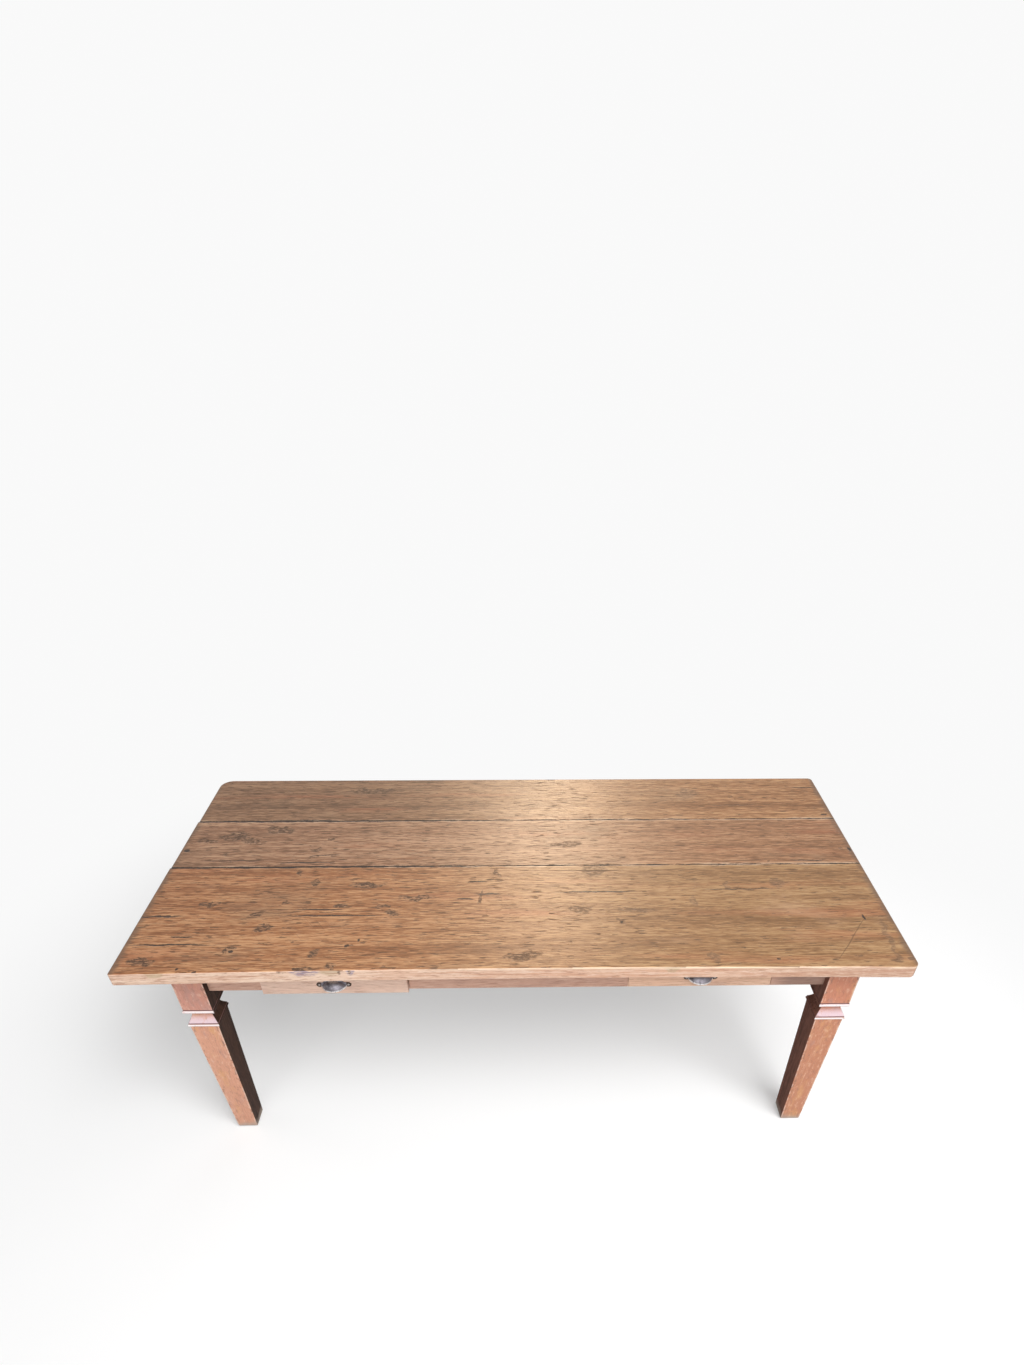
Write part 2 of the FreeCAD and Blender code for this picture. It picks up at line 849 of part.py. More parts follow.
stops = []
for label, face, way in runner_faces():
    runner = new_body(label, face, 0, apron_low)
    section = new_sketch(runner, f"{label}_section", "XZ_Plane", 0)
    draw_loop(
        section,
        [
            (way * size.runner_web, size.runner_lift),
            (way * size.runner_web, opening_height),
            (0, opening_height),
            (0, ledge_top),
            (-way * size.runner_ledge, ledge_top),
            (-way * size.runner_ledge, size.runner_lift),
        ],
    )
    extrude(runner, "Pad", section, inner_y * 2, both_ways=True)
    for number, side in enumerate((-1, 1), start=1):
        across = plus_minus(way, stub_inner, stub_outer)
        along = plus_minus(side, inner_y, inner_y + size.stub_length)
        block(runner, "Additive", f"{label}_stub_{number}", across, along, (stub_low, stub_high))
    stop = doc.addObject("Part::Box", f"{label}_stop")
    bind(stop, Length=size.stop_width, Width=size.stop_length, Height=size.stop_height)
    reach = plus_minus(-way, size.drawer_gap, size.drawer_gap + size.stop_width)
    stop_front = size.drawer_depth - long_apron_y - apron_inside + size.stop_clearance
    place(stop, face + reach[0], stop_front, apron_low + ledge_top)
    stops.append(stop)
group("drawer_stops", stops)

# Drawers: dovetailed boxes with a grooved-in bottom and a cup pull

front_half = opening_half - size.drawer_gap
front_height = opening_height - size.drawer_gap
side_low = ledge_top + size.running_clearance
side_high = side_low + size.side_height
groove_low = side_low + size.bottom_lift
groove_high = groove_low + size.bottom_thickness + size.joint_clearance
side_inner = front_half - size.side_thickness
back_root = size.drawer_depth - size.back_thickness
groove_out = side_inner + size.bottom_groove
ear_half = size.ear_height / 2
pull_screw_x = size.plate_width / 2 - ear_half


def tail_corners(root, tip, low, high, grow):
    """Each dovetail's four corners, from its low root to its high root, grown by a clearance."""
    height = high - low
    tails = []
    for low_share, high_share in TAIL_SHARES:
        tails.append(
            [
                (root, low + height * (low_share + TAIL_FLARE_SHARE) - grow),
                (tip, low + height * low_share - grow),
                (tip, low + height * high_share + grow),
                (root, low + height * (high_share - TAIL_FLARE_SHARE) + grow),
            ]
        )
    return tails


def sockets(body, label, root, tip, low, high, mouth, through=()):
    """Cuts the dovetail sockets into both ends of a drawer's front or back; through is past the tips."""
    slack = size.joint_clearance
    for number, side in enumerate((-1, 1), start=1):
        start = side_inner - slack if side > 0 else -front_half - size.overrun
        sketch = new_sketch(body, f"{label}_sockets_{number}", "YZ_Plane", start)
        for tail in tail_corners(root, tip, low, high, slack):
            mouth_low = [(mouth, tail[0][1])]
            mouth_high = [(mouth, tail[3][1])]
            far_end = [(beyond, corner[1]) for beyond in through for corner in tail[1:3]]
            draw_loop(sketch, mouth_low + tail[:2] + far_end + tail[2:] + mouth_high)
        depth = size.side_thickness + size.overrun + slack
        extrude(body, "Pocket", sketch, depth, reverse=True)


def drawer(name, side, out):
    """The seven pieces of one drawer, standing out from the apron's face by the given distance."""
    spot = (side * drawer_centre, -long_apron_y - apron_inside - out, apron_low)

    label = f"{name}_front"
    front = new_body(label, *spot)
    ends = (-front_half, front_half)
    thick = (as_length(0), size.front_thickness)
    block(front, "Additive", f"{label}_board", ends, thick, (as_length(0), front_height))
    ease(front, f"{label}_arris", size.front_arris, lambda edge: lies_at(edge, "y", as_length(0)))
    slack = size.joint_clearance
    mouth = size.front_thickness + size.overrun
    sockets(front, label, size.front_thickness, size.front_lap - slack, side_low, side_high, mouth)
    groove = (size.front_thickness - size.bottom_groove, mouth)
    groove_up = (groove_low, groove_high)
    block(front, "Subtractive", f"{label}_groove", (-groove_out, groove_out), groove, groove_up)
    pilots = [(way * pull_screw_x, size.pull_rise + ear_half) for way in (-1, 1)]
    pull_pilot = size.pull_screw_radius + size.screw_clearance
    pilot_depth = size.pull_screw_bite + size.screw_clearance
    drill(front, f"{label}_pilots", "XZ_Plane", 0, pilots, pull_pilot, pilot_depth)

    front_tails = tail_corners(size.front_thickness, size.front_lap, side_low, side_high, 0)
    back_tails = tail_corners(back_root, size.drawer_depth, groove_high, side_high, 0)
    profile = [(size.front_thickness, side_low)]
    profile += [(size.drawer_depth, side_low), (size.drawer_depth, groove_high), (back_root, groove_high)]
    profile += [corner for tail in back_tails for corner in tail]
    profile += [(back_root, side_high), (size.front_thickness, side_high)]
    profile += [corner for tail in reversed(front_tails) for corner in reversed(tail)]
    for side_name, way in SIDES.items():
        label = f"{name}_side_{side_name}"
        panel = new_body(label, *spot)
        across = plus_minus(way, side_inner, front_half)
        sketch = new_sketch(panel, f"{label}_profile", "YZ_Plane", across[0])
        draw_loop(sketch, profile)
        extrude(panel, "Pad", sketch, size.side_thickness)
        cut = plus_minus(way, side_inner - size.overrun, groove_out)
        along = (size.front_lap - size.overrun, size.drawer_depth + size.overrun)
        block(panel, "Subtractive", f"{label}_groove", cut, along, groove_up)

    label = f"{name}_back"
    back = new_body(label, *spot)
    thick = (back_root, size.drawer_depth)
    block(back, "Additive", f"{label}_board", ends, thick, (groove_high, side_high))
    behind = size.drawer_depth + size.overrun
    before = back_root - size.overrun
    sockets(back, label, back_root, size.drawer_depth, groove_high, side_high, before, [behind])

    label = f"{name}_bottom"
    bottom = new_body(label, *spot)
    reach = groove_out - slack
    along = (size.front_thickness - size.bottom_groove + slack, size.drawer_depth)
    up = (groove_low, groove_low + size.bottom_thickness)
    block(bottom, "Additive", f"{label}_panel", (-reach, reach), along, up)

    cup_pull(f"{name}_pull", spot)
    seat_y = spot[1] - size.plate_thickness
    seat_z = spot[2] + size.pull_rise + ear_half
    screws = [
        screw(
            f"{name}_pull_screw_{number}",
            (spot[0] + way * pull_screw_x, seat_y, seat_z),
            FreeCAD.Vector(0, 1, 0),
            size.pull_screw_radius,
            size.pull_screw_head_radius,
            size.pull_screw_head_height,
            size.plate_thickness + size.pull_screw_bite,
        )
        for number, way in enumerate((-1, 1), start=1)
    ]
    group(f"{name}_pull_screws", screws)


def cup_pull(label, spot):
    """A cast cup, open at the bottom, on a back plate with an arched top and an ear for each screw."""
    body = new_body(label, spot[0], spot[1], spot[2] + size.pull_rise)
    plate = new_sketch(body, f"{label}_plate", "XZ_Plane", 0)
    far = size.plate_width / 2
    arch_half = size.cup_width / 2 * ARCH_SHARE
    arch_rise = size.cup_height + size.plate_rim - size.ear_height
    draw_loop(
        plate,
        [
            (ear_half - far, 0),
            (far - ear_half, 0, ear_half, LEFT),
            (far, ear_half, ear_half, LEFT),
            (far - ear_half, size.ear_height),
            (arch_half, size.ear_height, arch_radius(arch_half, arch_rise), LEFT),
            (-arch_half, size.ear_height),
            (ear_half - far, size.ear_height, ear_half, LEFT),
            (-far, ear_half, ear_half, LEFT),
        ],
    )
    extrude(body, "Pad", plate, size.plate_thickness)
    cup = new_sketch(body, f"{label}_cup", "XZ_Plane", 0)
    outer = size.cup_width / 2
    inner = outer - size.cup_wall
    inner_height = size.cup_height - size.cup_wall
    draw_loop(
        cup,
        [
            (-outer, 0, arch_radius(outer, size.cup_height), RIGHT),
            (outer, 0),
            (inner, 0, arch_radius(inner, inner_height), LEFT),
            (-inner, 0),
        ],
    )
    shell = body.newObject("PartDesign::Revolution", f"{label}_shell")
    shell.Profile = cup
    shell.ReferenceAxis = (cup, ["H_Axis"])
    shell.Angle = QUARTER_TURN
    finished(body, True)
    holes = [(way * pull_screw_x, ear_half) for way in (-1, 1)]
    radius = size.pull_screw_radius + size.screw_clearance
    drill(body, f"{label}_holes", "XZ_Plane", size.plate_thickness, holes, radius, size.plate_thickness)


for side_name, side in SIDES.items():
    drawer(f"drawer_{side_name}", side, size.left_drawer_out if side_name == "left" else as_length(0))

# Every object is checked before anything is written

doc.recompute()
for item in doc.Objects:
    if "Invalid" in item.State or "Error" in item.State:
        raise RuntimeError(f"{item.Label} did not recompute: {item.State}")
for node in nodes:
    if node.Shape.isNull() or not node.Shape.isValid():
        raise RuntimeError(f"{node.Label} has no valid shape")

os.makedirs("parts", exist_ok=True)
for node in nodes:
    node.Shape.exportStep(os.path.join("parts", f"{node.Label}.step"))
print(f"{len(nodes)} pieces written")
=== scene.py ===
import math

import bmesh
import bpy
from mathutils import Matrix, Vector


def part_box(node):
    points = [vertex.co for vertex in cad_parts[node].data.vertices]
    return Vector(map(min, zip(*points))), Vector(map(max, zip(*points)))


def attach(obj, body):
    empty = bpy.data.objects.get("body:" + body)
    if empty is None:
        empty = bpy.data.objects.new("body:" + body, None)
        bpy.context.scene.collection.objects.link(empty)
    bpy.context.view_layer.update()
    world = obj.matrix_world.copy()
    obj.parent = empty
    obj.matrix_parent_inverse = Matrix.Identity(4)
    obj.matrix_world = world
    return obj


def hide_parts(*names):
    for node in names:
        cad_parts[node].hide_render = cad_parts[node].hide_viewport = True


# Farmhouse table: old plank top on moulded, tapered legs, with two drawers in the front apron.
# The frame is in metres: +X runs to the right along the table, +Y to the back, +Z up.
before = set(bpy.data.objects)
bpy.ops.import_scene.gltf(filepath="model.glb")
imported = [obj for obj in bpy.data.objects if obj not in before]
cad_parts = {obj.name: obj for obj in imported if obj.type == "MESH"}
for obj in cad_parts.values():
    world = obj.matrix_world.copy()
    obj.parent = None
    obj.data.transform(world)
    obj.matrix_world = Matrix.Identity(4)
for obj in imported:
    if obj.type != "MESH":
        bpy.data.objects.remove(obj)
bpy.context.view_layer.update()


# The three boards of the top
# Wide old hardwood planks, planed by hand, worn and waxed, with sanded edges and ringed end grain.
# They meet on loose tongues, so each joint shows as a dark line between two worn arrises.

class Wire:
    """A shader socket: operators on it add Math nodes, and node() adds any other kind."""

    def __init__(self, tree, socket=None):
        self.tree = tree
        self.socket = socket

    def node(self, kind, inputs=None, output=0, stops=None, **settings):
        """Adds a node with its settings, then its ramp's stops, then its sockets' values or links."""
        made = self.tree.nodes.new(kind)
        for name, value in settings.items():
            setattr(made, name, value)
        if stops:
            elements = made.color_ramp.elements
            while len(elements) < len(stops):
                elements.new(1.0)
            for element, (position, colour) in zip(elements, stops):
                element.position = position
                element.color = (*colour, 1.0)
        for name, value in (inputs or {}).items():
            socket = made.inputs[name]
            if isinstance(value, Wire):
                self.tree.links.new(value.socket, socket)
            elif socket.type == "RGBA":
                socket.default_value = (*value, 1.0)
            else:
                socket.default_value = value
        return Wire(self.tree, made.outputs[output] if made.outputs else None)

    def maths(self, operation, left, right):
        return self.node("ShaderNodeMath", {0: left, 1: right}, operation=operation)

    def __add__(self, other):
        return self.maths("ADD", self, other)

    __radd__ = __add__

    def __sub__(self, other):
        return self.maths("SUBTRACT", self, other)

    def __rsub__(self, other):
        return self.maths("SUBTRACT", other, self)

    def __mul__(self, other):
        return self.maths("MULTIPLY", self, other)

    def __or__(self, other):
        return self.maths("MAXIMUM", self, other)

    def __abs__(self):
        return self.maths("ABSOLUTE", self, 0.0)


def new_material(name):
    """An empty material and a wire that carries its object coordinates."""
    material = bpy.data.materials.new(name)
    material.use_nodes = True
    material.node_tree.nodes.clear()
    start = Wire(material.node_tree)
    return material, start.node("ShaderNodeTexCoord", output="Object")


def part_of(vector, axis):
    """One coordinate of a place or of a direction."""
    return vector.node("ShaderNodeSeparateXYZ", {"Vector": vector}, output=axis)


def facing(place, axis):
    """How far the surface faces along an axis, from -1 to 1."""
    return part_of(place.node("ShaderNodeTexCoord", output="Normal"), axis)


def stretched(place, scale, shift=(0, 0, 0)):
    """The place, scaled along each axis and then shifted."""
    return place.node("ShaderNodeMapping", {"Vector": place, "Location": shift, "Scale": scale})


def noise(place, scale, detail=2.0, roughness=0.5):
    """Smooth noise between 0 and 1."""
    sockets = {"Vector": place, "Scale": scale, "Detail": detail, "Roughness": roughness}
    return place.node("ShaderNodeTexNoise", sockets)


def rise(value, low, high):
    """0 at low, 1 at high, and a smooth rise between them."""
    sockets = {"Value": value, "From Min": low, "From Max": high}
    return value.node("ShaderNodeMapRange", sockets, interpolation_type="SMOOTHSTEP")


def laid(under, over, share):
    """One colour laid over another; on a colour mix, sockets 0, 6 and 7 are share, under and over."""
    return share.node("ShaderNodeMix", {0: share, 6: under, 7: over}, output=2, data_type="RGBA")


def ragged(place, reach, scale):
    """The place, pushed about by noise so that what is drawn on it has uneven borders."""
    sockets = {"Vector": place, "Scale": scale, "Detail": 3.0}
    push = place.node("ShaderNodeTexNoise", sockets, output="Color")
    centred = place.node("ShaderNodeVectorMath", {0: push, 1: (0.5, 0.5, 0.5)}, operation="SUBTRACT")
    sockets = {0: centred, 1: (reach, reach, reach), 2: place}
    return place.node("ShaderNodeVectorMath", sockets, operation="MULTIPLY_ADD")


TOP_HEIGHT = 0.78
MARK_DEPTH = 0.022
MARK_BORDER = (1.05, 0.72)


def spots(place, table):
    """Oval marks on the top: each row has a centre and two half sizes, along X and along Y."""
    marks = 0.0
    for x, y, half_length, half_width in table:
        sockets = {0: place, 1: (x, y, TOP_HEIGHT)}
        offset = place.node("ShaderNodeVectorMath", sockets, operation="SUBTRACT")
        sockets = {0: offset, 1: (half_length, half_width, MARK_DEPTH)}
        local = place.node("ShaderNodeVectorMath", sockets, operation="DIVIDE")
        away = place.node("ShaderNodeVectorMath", {0: local}, output="Value", operation="LENGTH")
        marks = rise(away, *MARK_BORDER) | marks
    return marks


MILLIMETRE = 0.001


def close_material(place, colour, roughness, height, metallic=0.0, gloss=0.3):
    """Ends a material in a principled surface; the height of its relief is in millimetres."""
    bump = place.node("ShaderNodeBump", {"Height": height, "Distance": MILLIMETRE, "Strength": 1.0})
    sockets = {"Base Color": colour, "Roughness": roughness, "Normal": bump, "Metallic": metallic}
    sockets["Specular IOR Level"] = gloss
    surface = place.node("ShaderNodeBsdfPrincipled", sockets)
    place.node("ShaderNodeOutputMaterial", {"Surface": surface})


def dress(node_name, material):
    """Gives a piece of the frame its material."""
    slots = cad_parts[node_name].data.materials
    slots.clear()
    slots.append(material)


def plank_grain(log):
    """Bands, streaks and fibres of a sawn plank whose length runs along X, and its open pores."""
    bands = noise(stretched(log, (0.8, 22.0, 22.0)), 1.0, 4.0, 0.6)
    streaks = noise(stretched(log, (7.0, 95.0, 95.0)), 1.0, 4.0, 0.65)
    flecks = noise(stretched(log, (30.0, 260.0, 260.0), (4, 4, 4)), 1.0, 3.0, 0.6)
    fibres = noise(stretched(log, (16.0, 420.0, 420.0)), 1.0, 3.0, 0.6)
    pores = rise(noise(stretched(log, (40.0, 800.0, 800.0)), 1.0, 1.0), 0.64, 0.73)
    return bands * 0.24 + streaks * 0.20 + flecks * 0.29 + fibres * 0.27, pores


def streak_patch(log):
    """Short runs along the grain, for wear that comes and goes."""
    return noise(stretched(log, (7.0, 30.0, 30.0), (1, 8, 2)), 1.0, 2.0)


SLANT = math.radians(52.3)


def slanted_rows(table):
    """Rows of marks, with their centres told along and across the slant."""
    way = (math.cos(SLANT), math.sin(SLANT))
    return [(x * way[0] + y * way[1], y * way[0] - x * way[1], *sizes) for x, y, *sizes in table]


DENTS_PER_METRE = 34.0
DENT_SPREAD = 0.20


def strewn_marks(place, log, leftward, blotch):
    """Marks strewn by chance: checks along the grain, short dashes, dents and slanting scratches."""
    checks = rise(noise(stretched(log, (2.6, 150.0, 150.0), (2, 7, 4)), 1.0, 3.0), 0.67, 0.73)
    checks = checks * rise(noise(log, 3.1, 1.0), 0.46, 0.58)
    dashes = noise(stretched(log, (26.0, 210.0, 210.0), (6, 1, 9)), 1.0, 3.0)
    dashes = rise(dashes + leftward * 0.030 + blotch * 0.06, 0.645, 0.69)
    cells = {"Vector": stretched(ragged(log, 0.016, 60.0), (0.6, 1.0, 1.0)), "Scale": DENTS_PER_METRE}
    dent_distance = place.node("ShaderNodeTexVoronoi", cells, output="Distance")
    dent_chance = place.node("ShaderNodeTexVoronoi", cells, output="Color")
    dent_size = part_of(dent_chance, "Y") * DENT_SPREAD
    dents = rise(dent_distance - dent_size, 0.06, -0.04) * rise(part_of(dent_chance, "X"), 0.88, 0.98)
    slanted = place.node("ShaderNodeMapping", {"Vector": log, "Rotation": (0, 0, SLANT)})
    scratches = rise(noise(stretched(slanted, (5.0, 420.0, 5.0)), 1.0, 2.0), 0.69, 0.74)
    scratches = scratches * rise(noise(log, 5.3, 2.0), 0.50, 0.62)
    return checks, dashes, dents, scratches


JOINT_PLACES = (-0.030, 0.216)
GAP_SPREAD = 0.016
GAP_CUT = 0.0062
GAP_WIDER_LEFT = 0.0018
GAP_BORDER = (0.0012, -0.0006)
JOINT_WEAR = (0.009, 0.004)


def joint_lines(place, log, along):
    """The dark gaps at the two joints, uneven in width, and the worn strips beside them."""
    depth = part_of(ragged(place, 0.006, 45.0), "Y")
    gap_half = noise(stretched(log, (14.0, 0.0, 0.0)), 1.0, 4.0, 0.7) * GAP_SPREAD - GAP_CUT
    gap_half = gap_half + rise(along, 0.0, -0.4) * GAP_WIDER_LEFT
    worn_depth = part_of(ragged(place, 0.012, 30.0), "Y")
    gaps = [rise(abs(depth - joint) - gap_half, *GAP_BORDER) for joint in JOINT_PLACES]
    wears = [rise(abs(worn_depth - joint), *JOINT_WEAR) for joint in JOINT_PLACES]
    return gaps[0] | gaps[1], wears[0] | wears[1]


EDGE_PINK = (0.545, 0.310, 0.208)
EDGE_PALE = (0.680, 0.500, 0.385)
EDGE_PURPLE = (0.300, 0.245, 0.295)
EDGE_GREASE = (0.430, 0.325, 0.205)
EDGE_BROKEN = (0.130, 0.085, 0.060)
EDGE_TAN = (0.40, 0.235, 0.165)
EDGE_BROWN = (0.34, 0.190, 0.135)
EDGE_FLECK = (0.78, 0.62, 0.51)
EDGE_HOLLOW = (0.38, 0.215, 0.145)
# The upper arris's pale tone: worn wood and a painted highlight.
ARRIS_WEAR_AND_HIGHLIGHT = (0.830, 0.660, 0.480)
ARRIS = (TOP_HEIGHT - 0.0090, TOP_HEIGHT - 0.0040)
EDGE_STAINS = ((-0.545, -0.470, 0.046, 0.010), (-0.430, -0.470, 0.014, 0.010))
EDGE_DIRT = (
    (-0.480, -0.470, 0.032, 0.012), (-0.925, -0.470, 0.030, 0.010),
    (0.400, -0.470, 0.025, 0.010),
)
EDGE_CHIPS = (
    (-0.458, -0.475, 0.007, 0.014), (-0.432, -0.475, 0.006, 0.014),
    (-0.602, -0.475, 0.022, 0.010),
)


def edge_wood(log, along, level, uneven, edge_tone, hollows):
    """The sanded long edges: pink to pale, with stained patches, dirt and chips, and a pale upper arris
    that is partly worn and partly a painted highlight.
    """
    flecks = noise(stretched(log, (34.0, 150.0, 290.0), (3, 5, 8)), 1.0, 3.0, 0.65)
    paler_left = rise(along, 0.1, -0.5) * 0.45
    edge = laid(EDGE_PINK, EDGE_PALE, rise(edge_tone, 0.40, 0.62) * 0.7 + paler_left)
    edge = laid(edge, EDGE_PURPLE, spots(uneven, EDGE_STAINS) * rise(flecks, 0.42, 0.54))
    edge = laid(edge, EDGE_GREASE, spots(uneven, EDGE_DIRT) * 0.7)
    edge = laid(edge, EDGE_BROKEN, spots(uneven, EDGE_CHIPS) * rise(flecks, 0.40, 0.50))
    edge = laid(edge, EDGE_TAN, rise(along, 0.35, 0.95) * 0.5)
    edge = laid(edge, EDGE_BROWN, rise(flecks, 0.54, 0.68) * 0.7)
    edge = laid(edge, EDGE_FLECK, rise(flecks, 0.47, 0.33) * 0.5)
    edge = laid(edge, EDGE_HOLLOW, rise(edge_tone, 0.44, 0.32) * 0.8 | hollows)
    # The pale line along the upper arris on the right half: worn wood and a painted highlight.
    arris = rise(level, *ARRIS) * rise(streak_patch(log), 0.30, 0.52)
    return laid(edge, ARRIS_WEAR_AND_HIGHLIGHT, arris * rise(along, -0.5, 0.2) * 0.75)


OLD_DIRT = (0.036, 0.023, 0.017)
END_GRAIN = (0.150, 0.092, 0.060)
END_PALE = (0.330, 0.215, 0.140)
RING_BOW = 1.4
RINGS_PER_METRE = 330.0
VESSELS_PER_METRE = 620.0


def end_wood(place, log, level, heart, edge_tone):
    """The ends of a board: rings bowed about its heart, fine vessels and dark splits."""
    from_heart = part_of(ragged(place, 0.010, 14.0), "Y") - heart
    bow = {"X": from_heart * from_heart * RING_BOW + level}
    rings = noise(place.node("ShaderNodeCombineXYZ", bow), RINGS_PER_METRE, 2.0)
    vessels = noise(stretched(log, (0.3, 1.0, 1.0)), VESSELS_PER_METRE, 2.0)
    splits = rise(noise(stretched(log, (0.0, 75.0, 9.0)), 1.0, 3.0), 0.66, 0.72)
    tone = rise(rings * 0.6 + vessels * 0.2 + edge_tone * 0.2, 0.38, 0.60)
    return laid(laid(END_GRAIN, END_PALE, tone), OLD_DIRT, splits * 0.8)


RUSSET = (0.43, 0.155, 0.075)
STAIN_DARK = (0.235, 0.150, 0.092)
WORN_PALE = (0.60, 0.375, 0.225)
JOINT_PALE = (0.64, 0.45, 0.31)
TOP_PORES = (0.13, 0.065, 0.036)
RUB_SHADE = (0.250, 0.145, 0.085)
MARK_DARK = (0.078, 0.043, 0.027)
SAWN_DARK = (0.215, 0.128, 0.072)
SAWN_PALE = (0.430, 0.282, 0.172)
SAWN_STAIN = (0.19, 0.130, 0.085)
# Where the board's ends darken: dirt, and painted shade on the rounded end arris.
END_DIRT_AND_SHADE = (1.016, 1.038)
EDGE_START = (TOP_HEIGHT - 0.0010, TOP_HEIGHT - 0.0024)


def top_wood(name, shift, heart, colours, cracks, knots, rubs, slants):
    """A board's wood: the Y of its rings' middle, its tones at both ends, and its cracks and marks."""
    material, place = new_material(name)
    log = stretched(place, (1, 1, 1), shift)
    grain, pores = plank_grain(log)
    spread = rise(grain, 0.41, 0.59)
    left_tones, right_tones = [
        place.node("ShaderNodeValToRGB", {"Fac": spread}, stops=list(zip((0.0, 0.5, 1.0), tones)))
        for tones in colours
    ]
    across = rise(part_of(ragged(place, 0.5, 3.0), "X"), -0.6, 0.7)
    colour = laid(left_tones, right_tones, across)
    blotch = noise(stretched(log, (2.2, 5.0, 5.0)), 1.0, 5.0, 0.6)
    russet = noise(stretched(log, (1.6, 17.0, 17.0), (5, 3, 1)), 1.0, 3.0)
    colour = laid(colour, RUSSET, rise(russet, 0.55, 0.75) * 0.4)
    colour = laid(colour, STAIN_DARK, rise(blotch, 0.54, 0.74) * 0.5)
    colour = laid(colour, WORN_PALE, rise(blotch, 0.42, 0.24) * 0.45)

    along = part_of(place, "X")
    leftward = rise(along, 0.45, -0.35)
    checks, dashes, dents, scratches = strewn_marks(place, log, leftward, blotch)
    uneven = ragged(ragged(place, 0.012, 38.0), 0.005, 170.0)
    named_cracks = spots(ragged(ragged(place, 0.010, 24.0), 0.004, 150.0), cracks)
    named_knots = spots(uneven, knots)
    speckle = rise(noise(stretched(log, (0.40, 1.0, 1.0)), 190.0, 4.0, 0.6), 0.43, 0.54)
    slant_place = {"Vector": ragged(place, 0.012, 9.0), "Rotation": (0, 0, -SLANT)}
    slant_place = place.node("ShaderNodeMapping", slant_place)
    named_slants = spots(slant_place, slanted_rows(slants)) * 0.5
    rub_area = spots(ragged(ragged(place, 0.055, 21.0), 0.012, 130.0), rubs)
    named_rubs = rub_area * speckle * (leftward * 0.52 + 0.40)
    joint_gap, joint_wear = joint_lines(place, log, along)
    # Darker band along each end of the board: dirt, and painted shade on the rounded end arris.
    end_dirt_and_shade = rise(abs(part_of(ragged(place, 0.035, 26.0), "X")), *END_DIRT_AND_SHADE)

    colour = laid(colour, JOINT_PALE, joint_wear * rise(streak_patch(log), 0.44, 0.60) * 0.6)
    colour = laid(colour, TOP_PORES, pores * 0.45)
    dark = checks * 0.75 | dents * 0.55 | dashes * 0.75 | scratches * 0.5 | named_rubs | named_slants
    colour = laid(colour, RUB_SHADE, rub_area * 0.34)
    colour = laid(colour, MARK_DARK, dark)
    # The end band: dirt and painted shade.
    colour = laid(colour, END_GRAIN, end_dirt_and_shade * 0.8)
    colour = laid(colour, OLD_DIRT, named_cracks * 0.92 | named_knots * 0.9 | joint_gap)

    upward = facing(place, "Z")
    level = part_of(place, "Z")
    edge_tone = noise(stretched(log, (5.0, 60.0, 130.0)), 1.0, 5.0, 0.7)
    edge = edge_wood(log, along, level, uneven, edge_tone, dents * 0.6 | dashes * 0.6)
    end = end_wood(place, log, level, heart, edge_tone)
    sawn = laid(SAWN_DARK, SAWN_PALE, rise(grain, 0.36, 0.64))
    sawn = laid(sawn, SAWN_STAIN, rise(blotch, 0.48, 0.66) * 0.6 | checks * 0.8)
    colour = laid(colour, edge, rise(level, *EDGE_START))
    colour = laid(colour, end, rise(abs(facing(place, "X")), 0.45, 0.75))
    colour = laid(colour, sawn, rise(upward, -0.4, -0.8))

    tooling = noise(stretched(log, (0.45, 1.0, 1.0)), 140.0, 3.0, 0.6)
    relief = grain * 0.45 + tooling * 0.30 + blotch * 0.4 - pores * 0.12 - checks * 0.5
    relief = relief - dents * 0.7 - dashes * 0.2 - scratches * 0.15
    relief = relief - named_cracks * 1.2 - named_knots * 0.6 - named_rubs * 0.4 - joint_gap * 0.6
    roughness = 0.32 + blotch * 0.14 + dark * 0.25 + rise(upward, 0.7, 0.3) * 0.2
    close_material(place, colour, roughness, relief)
    return material


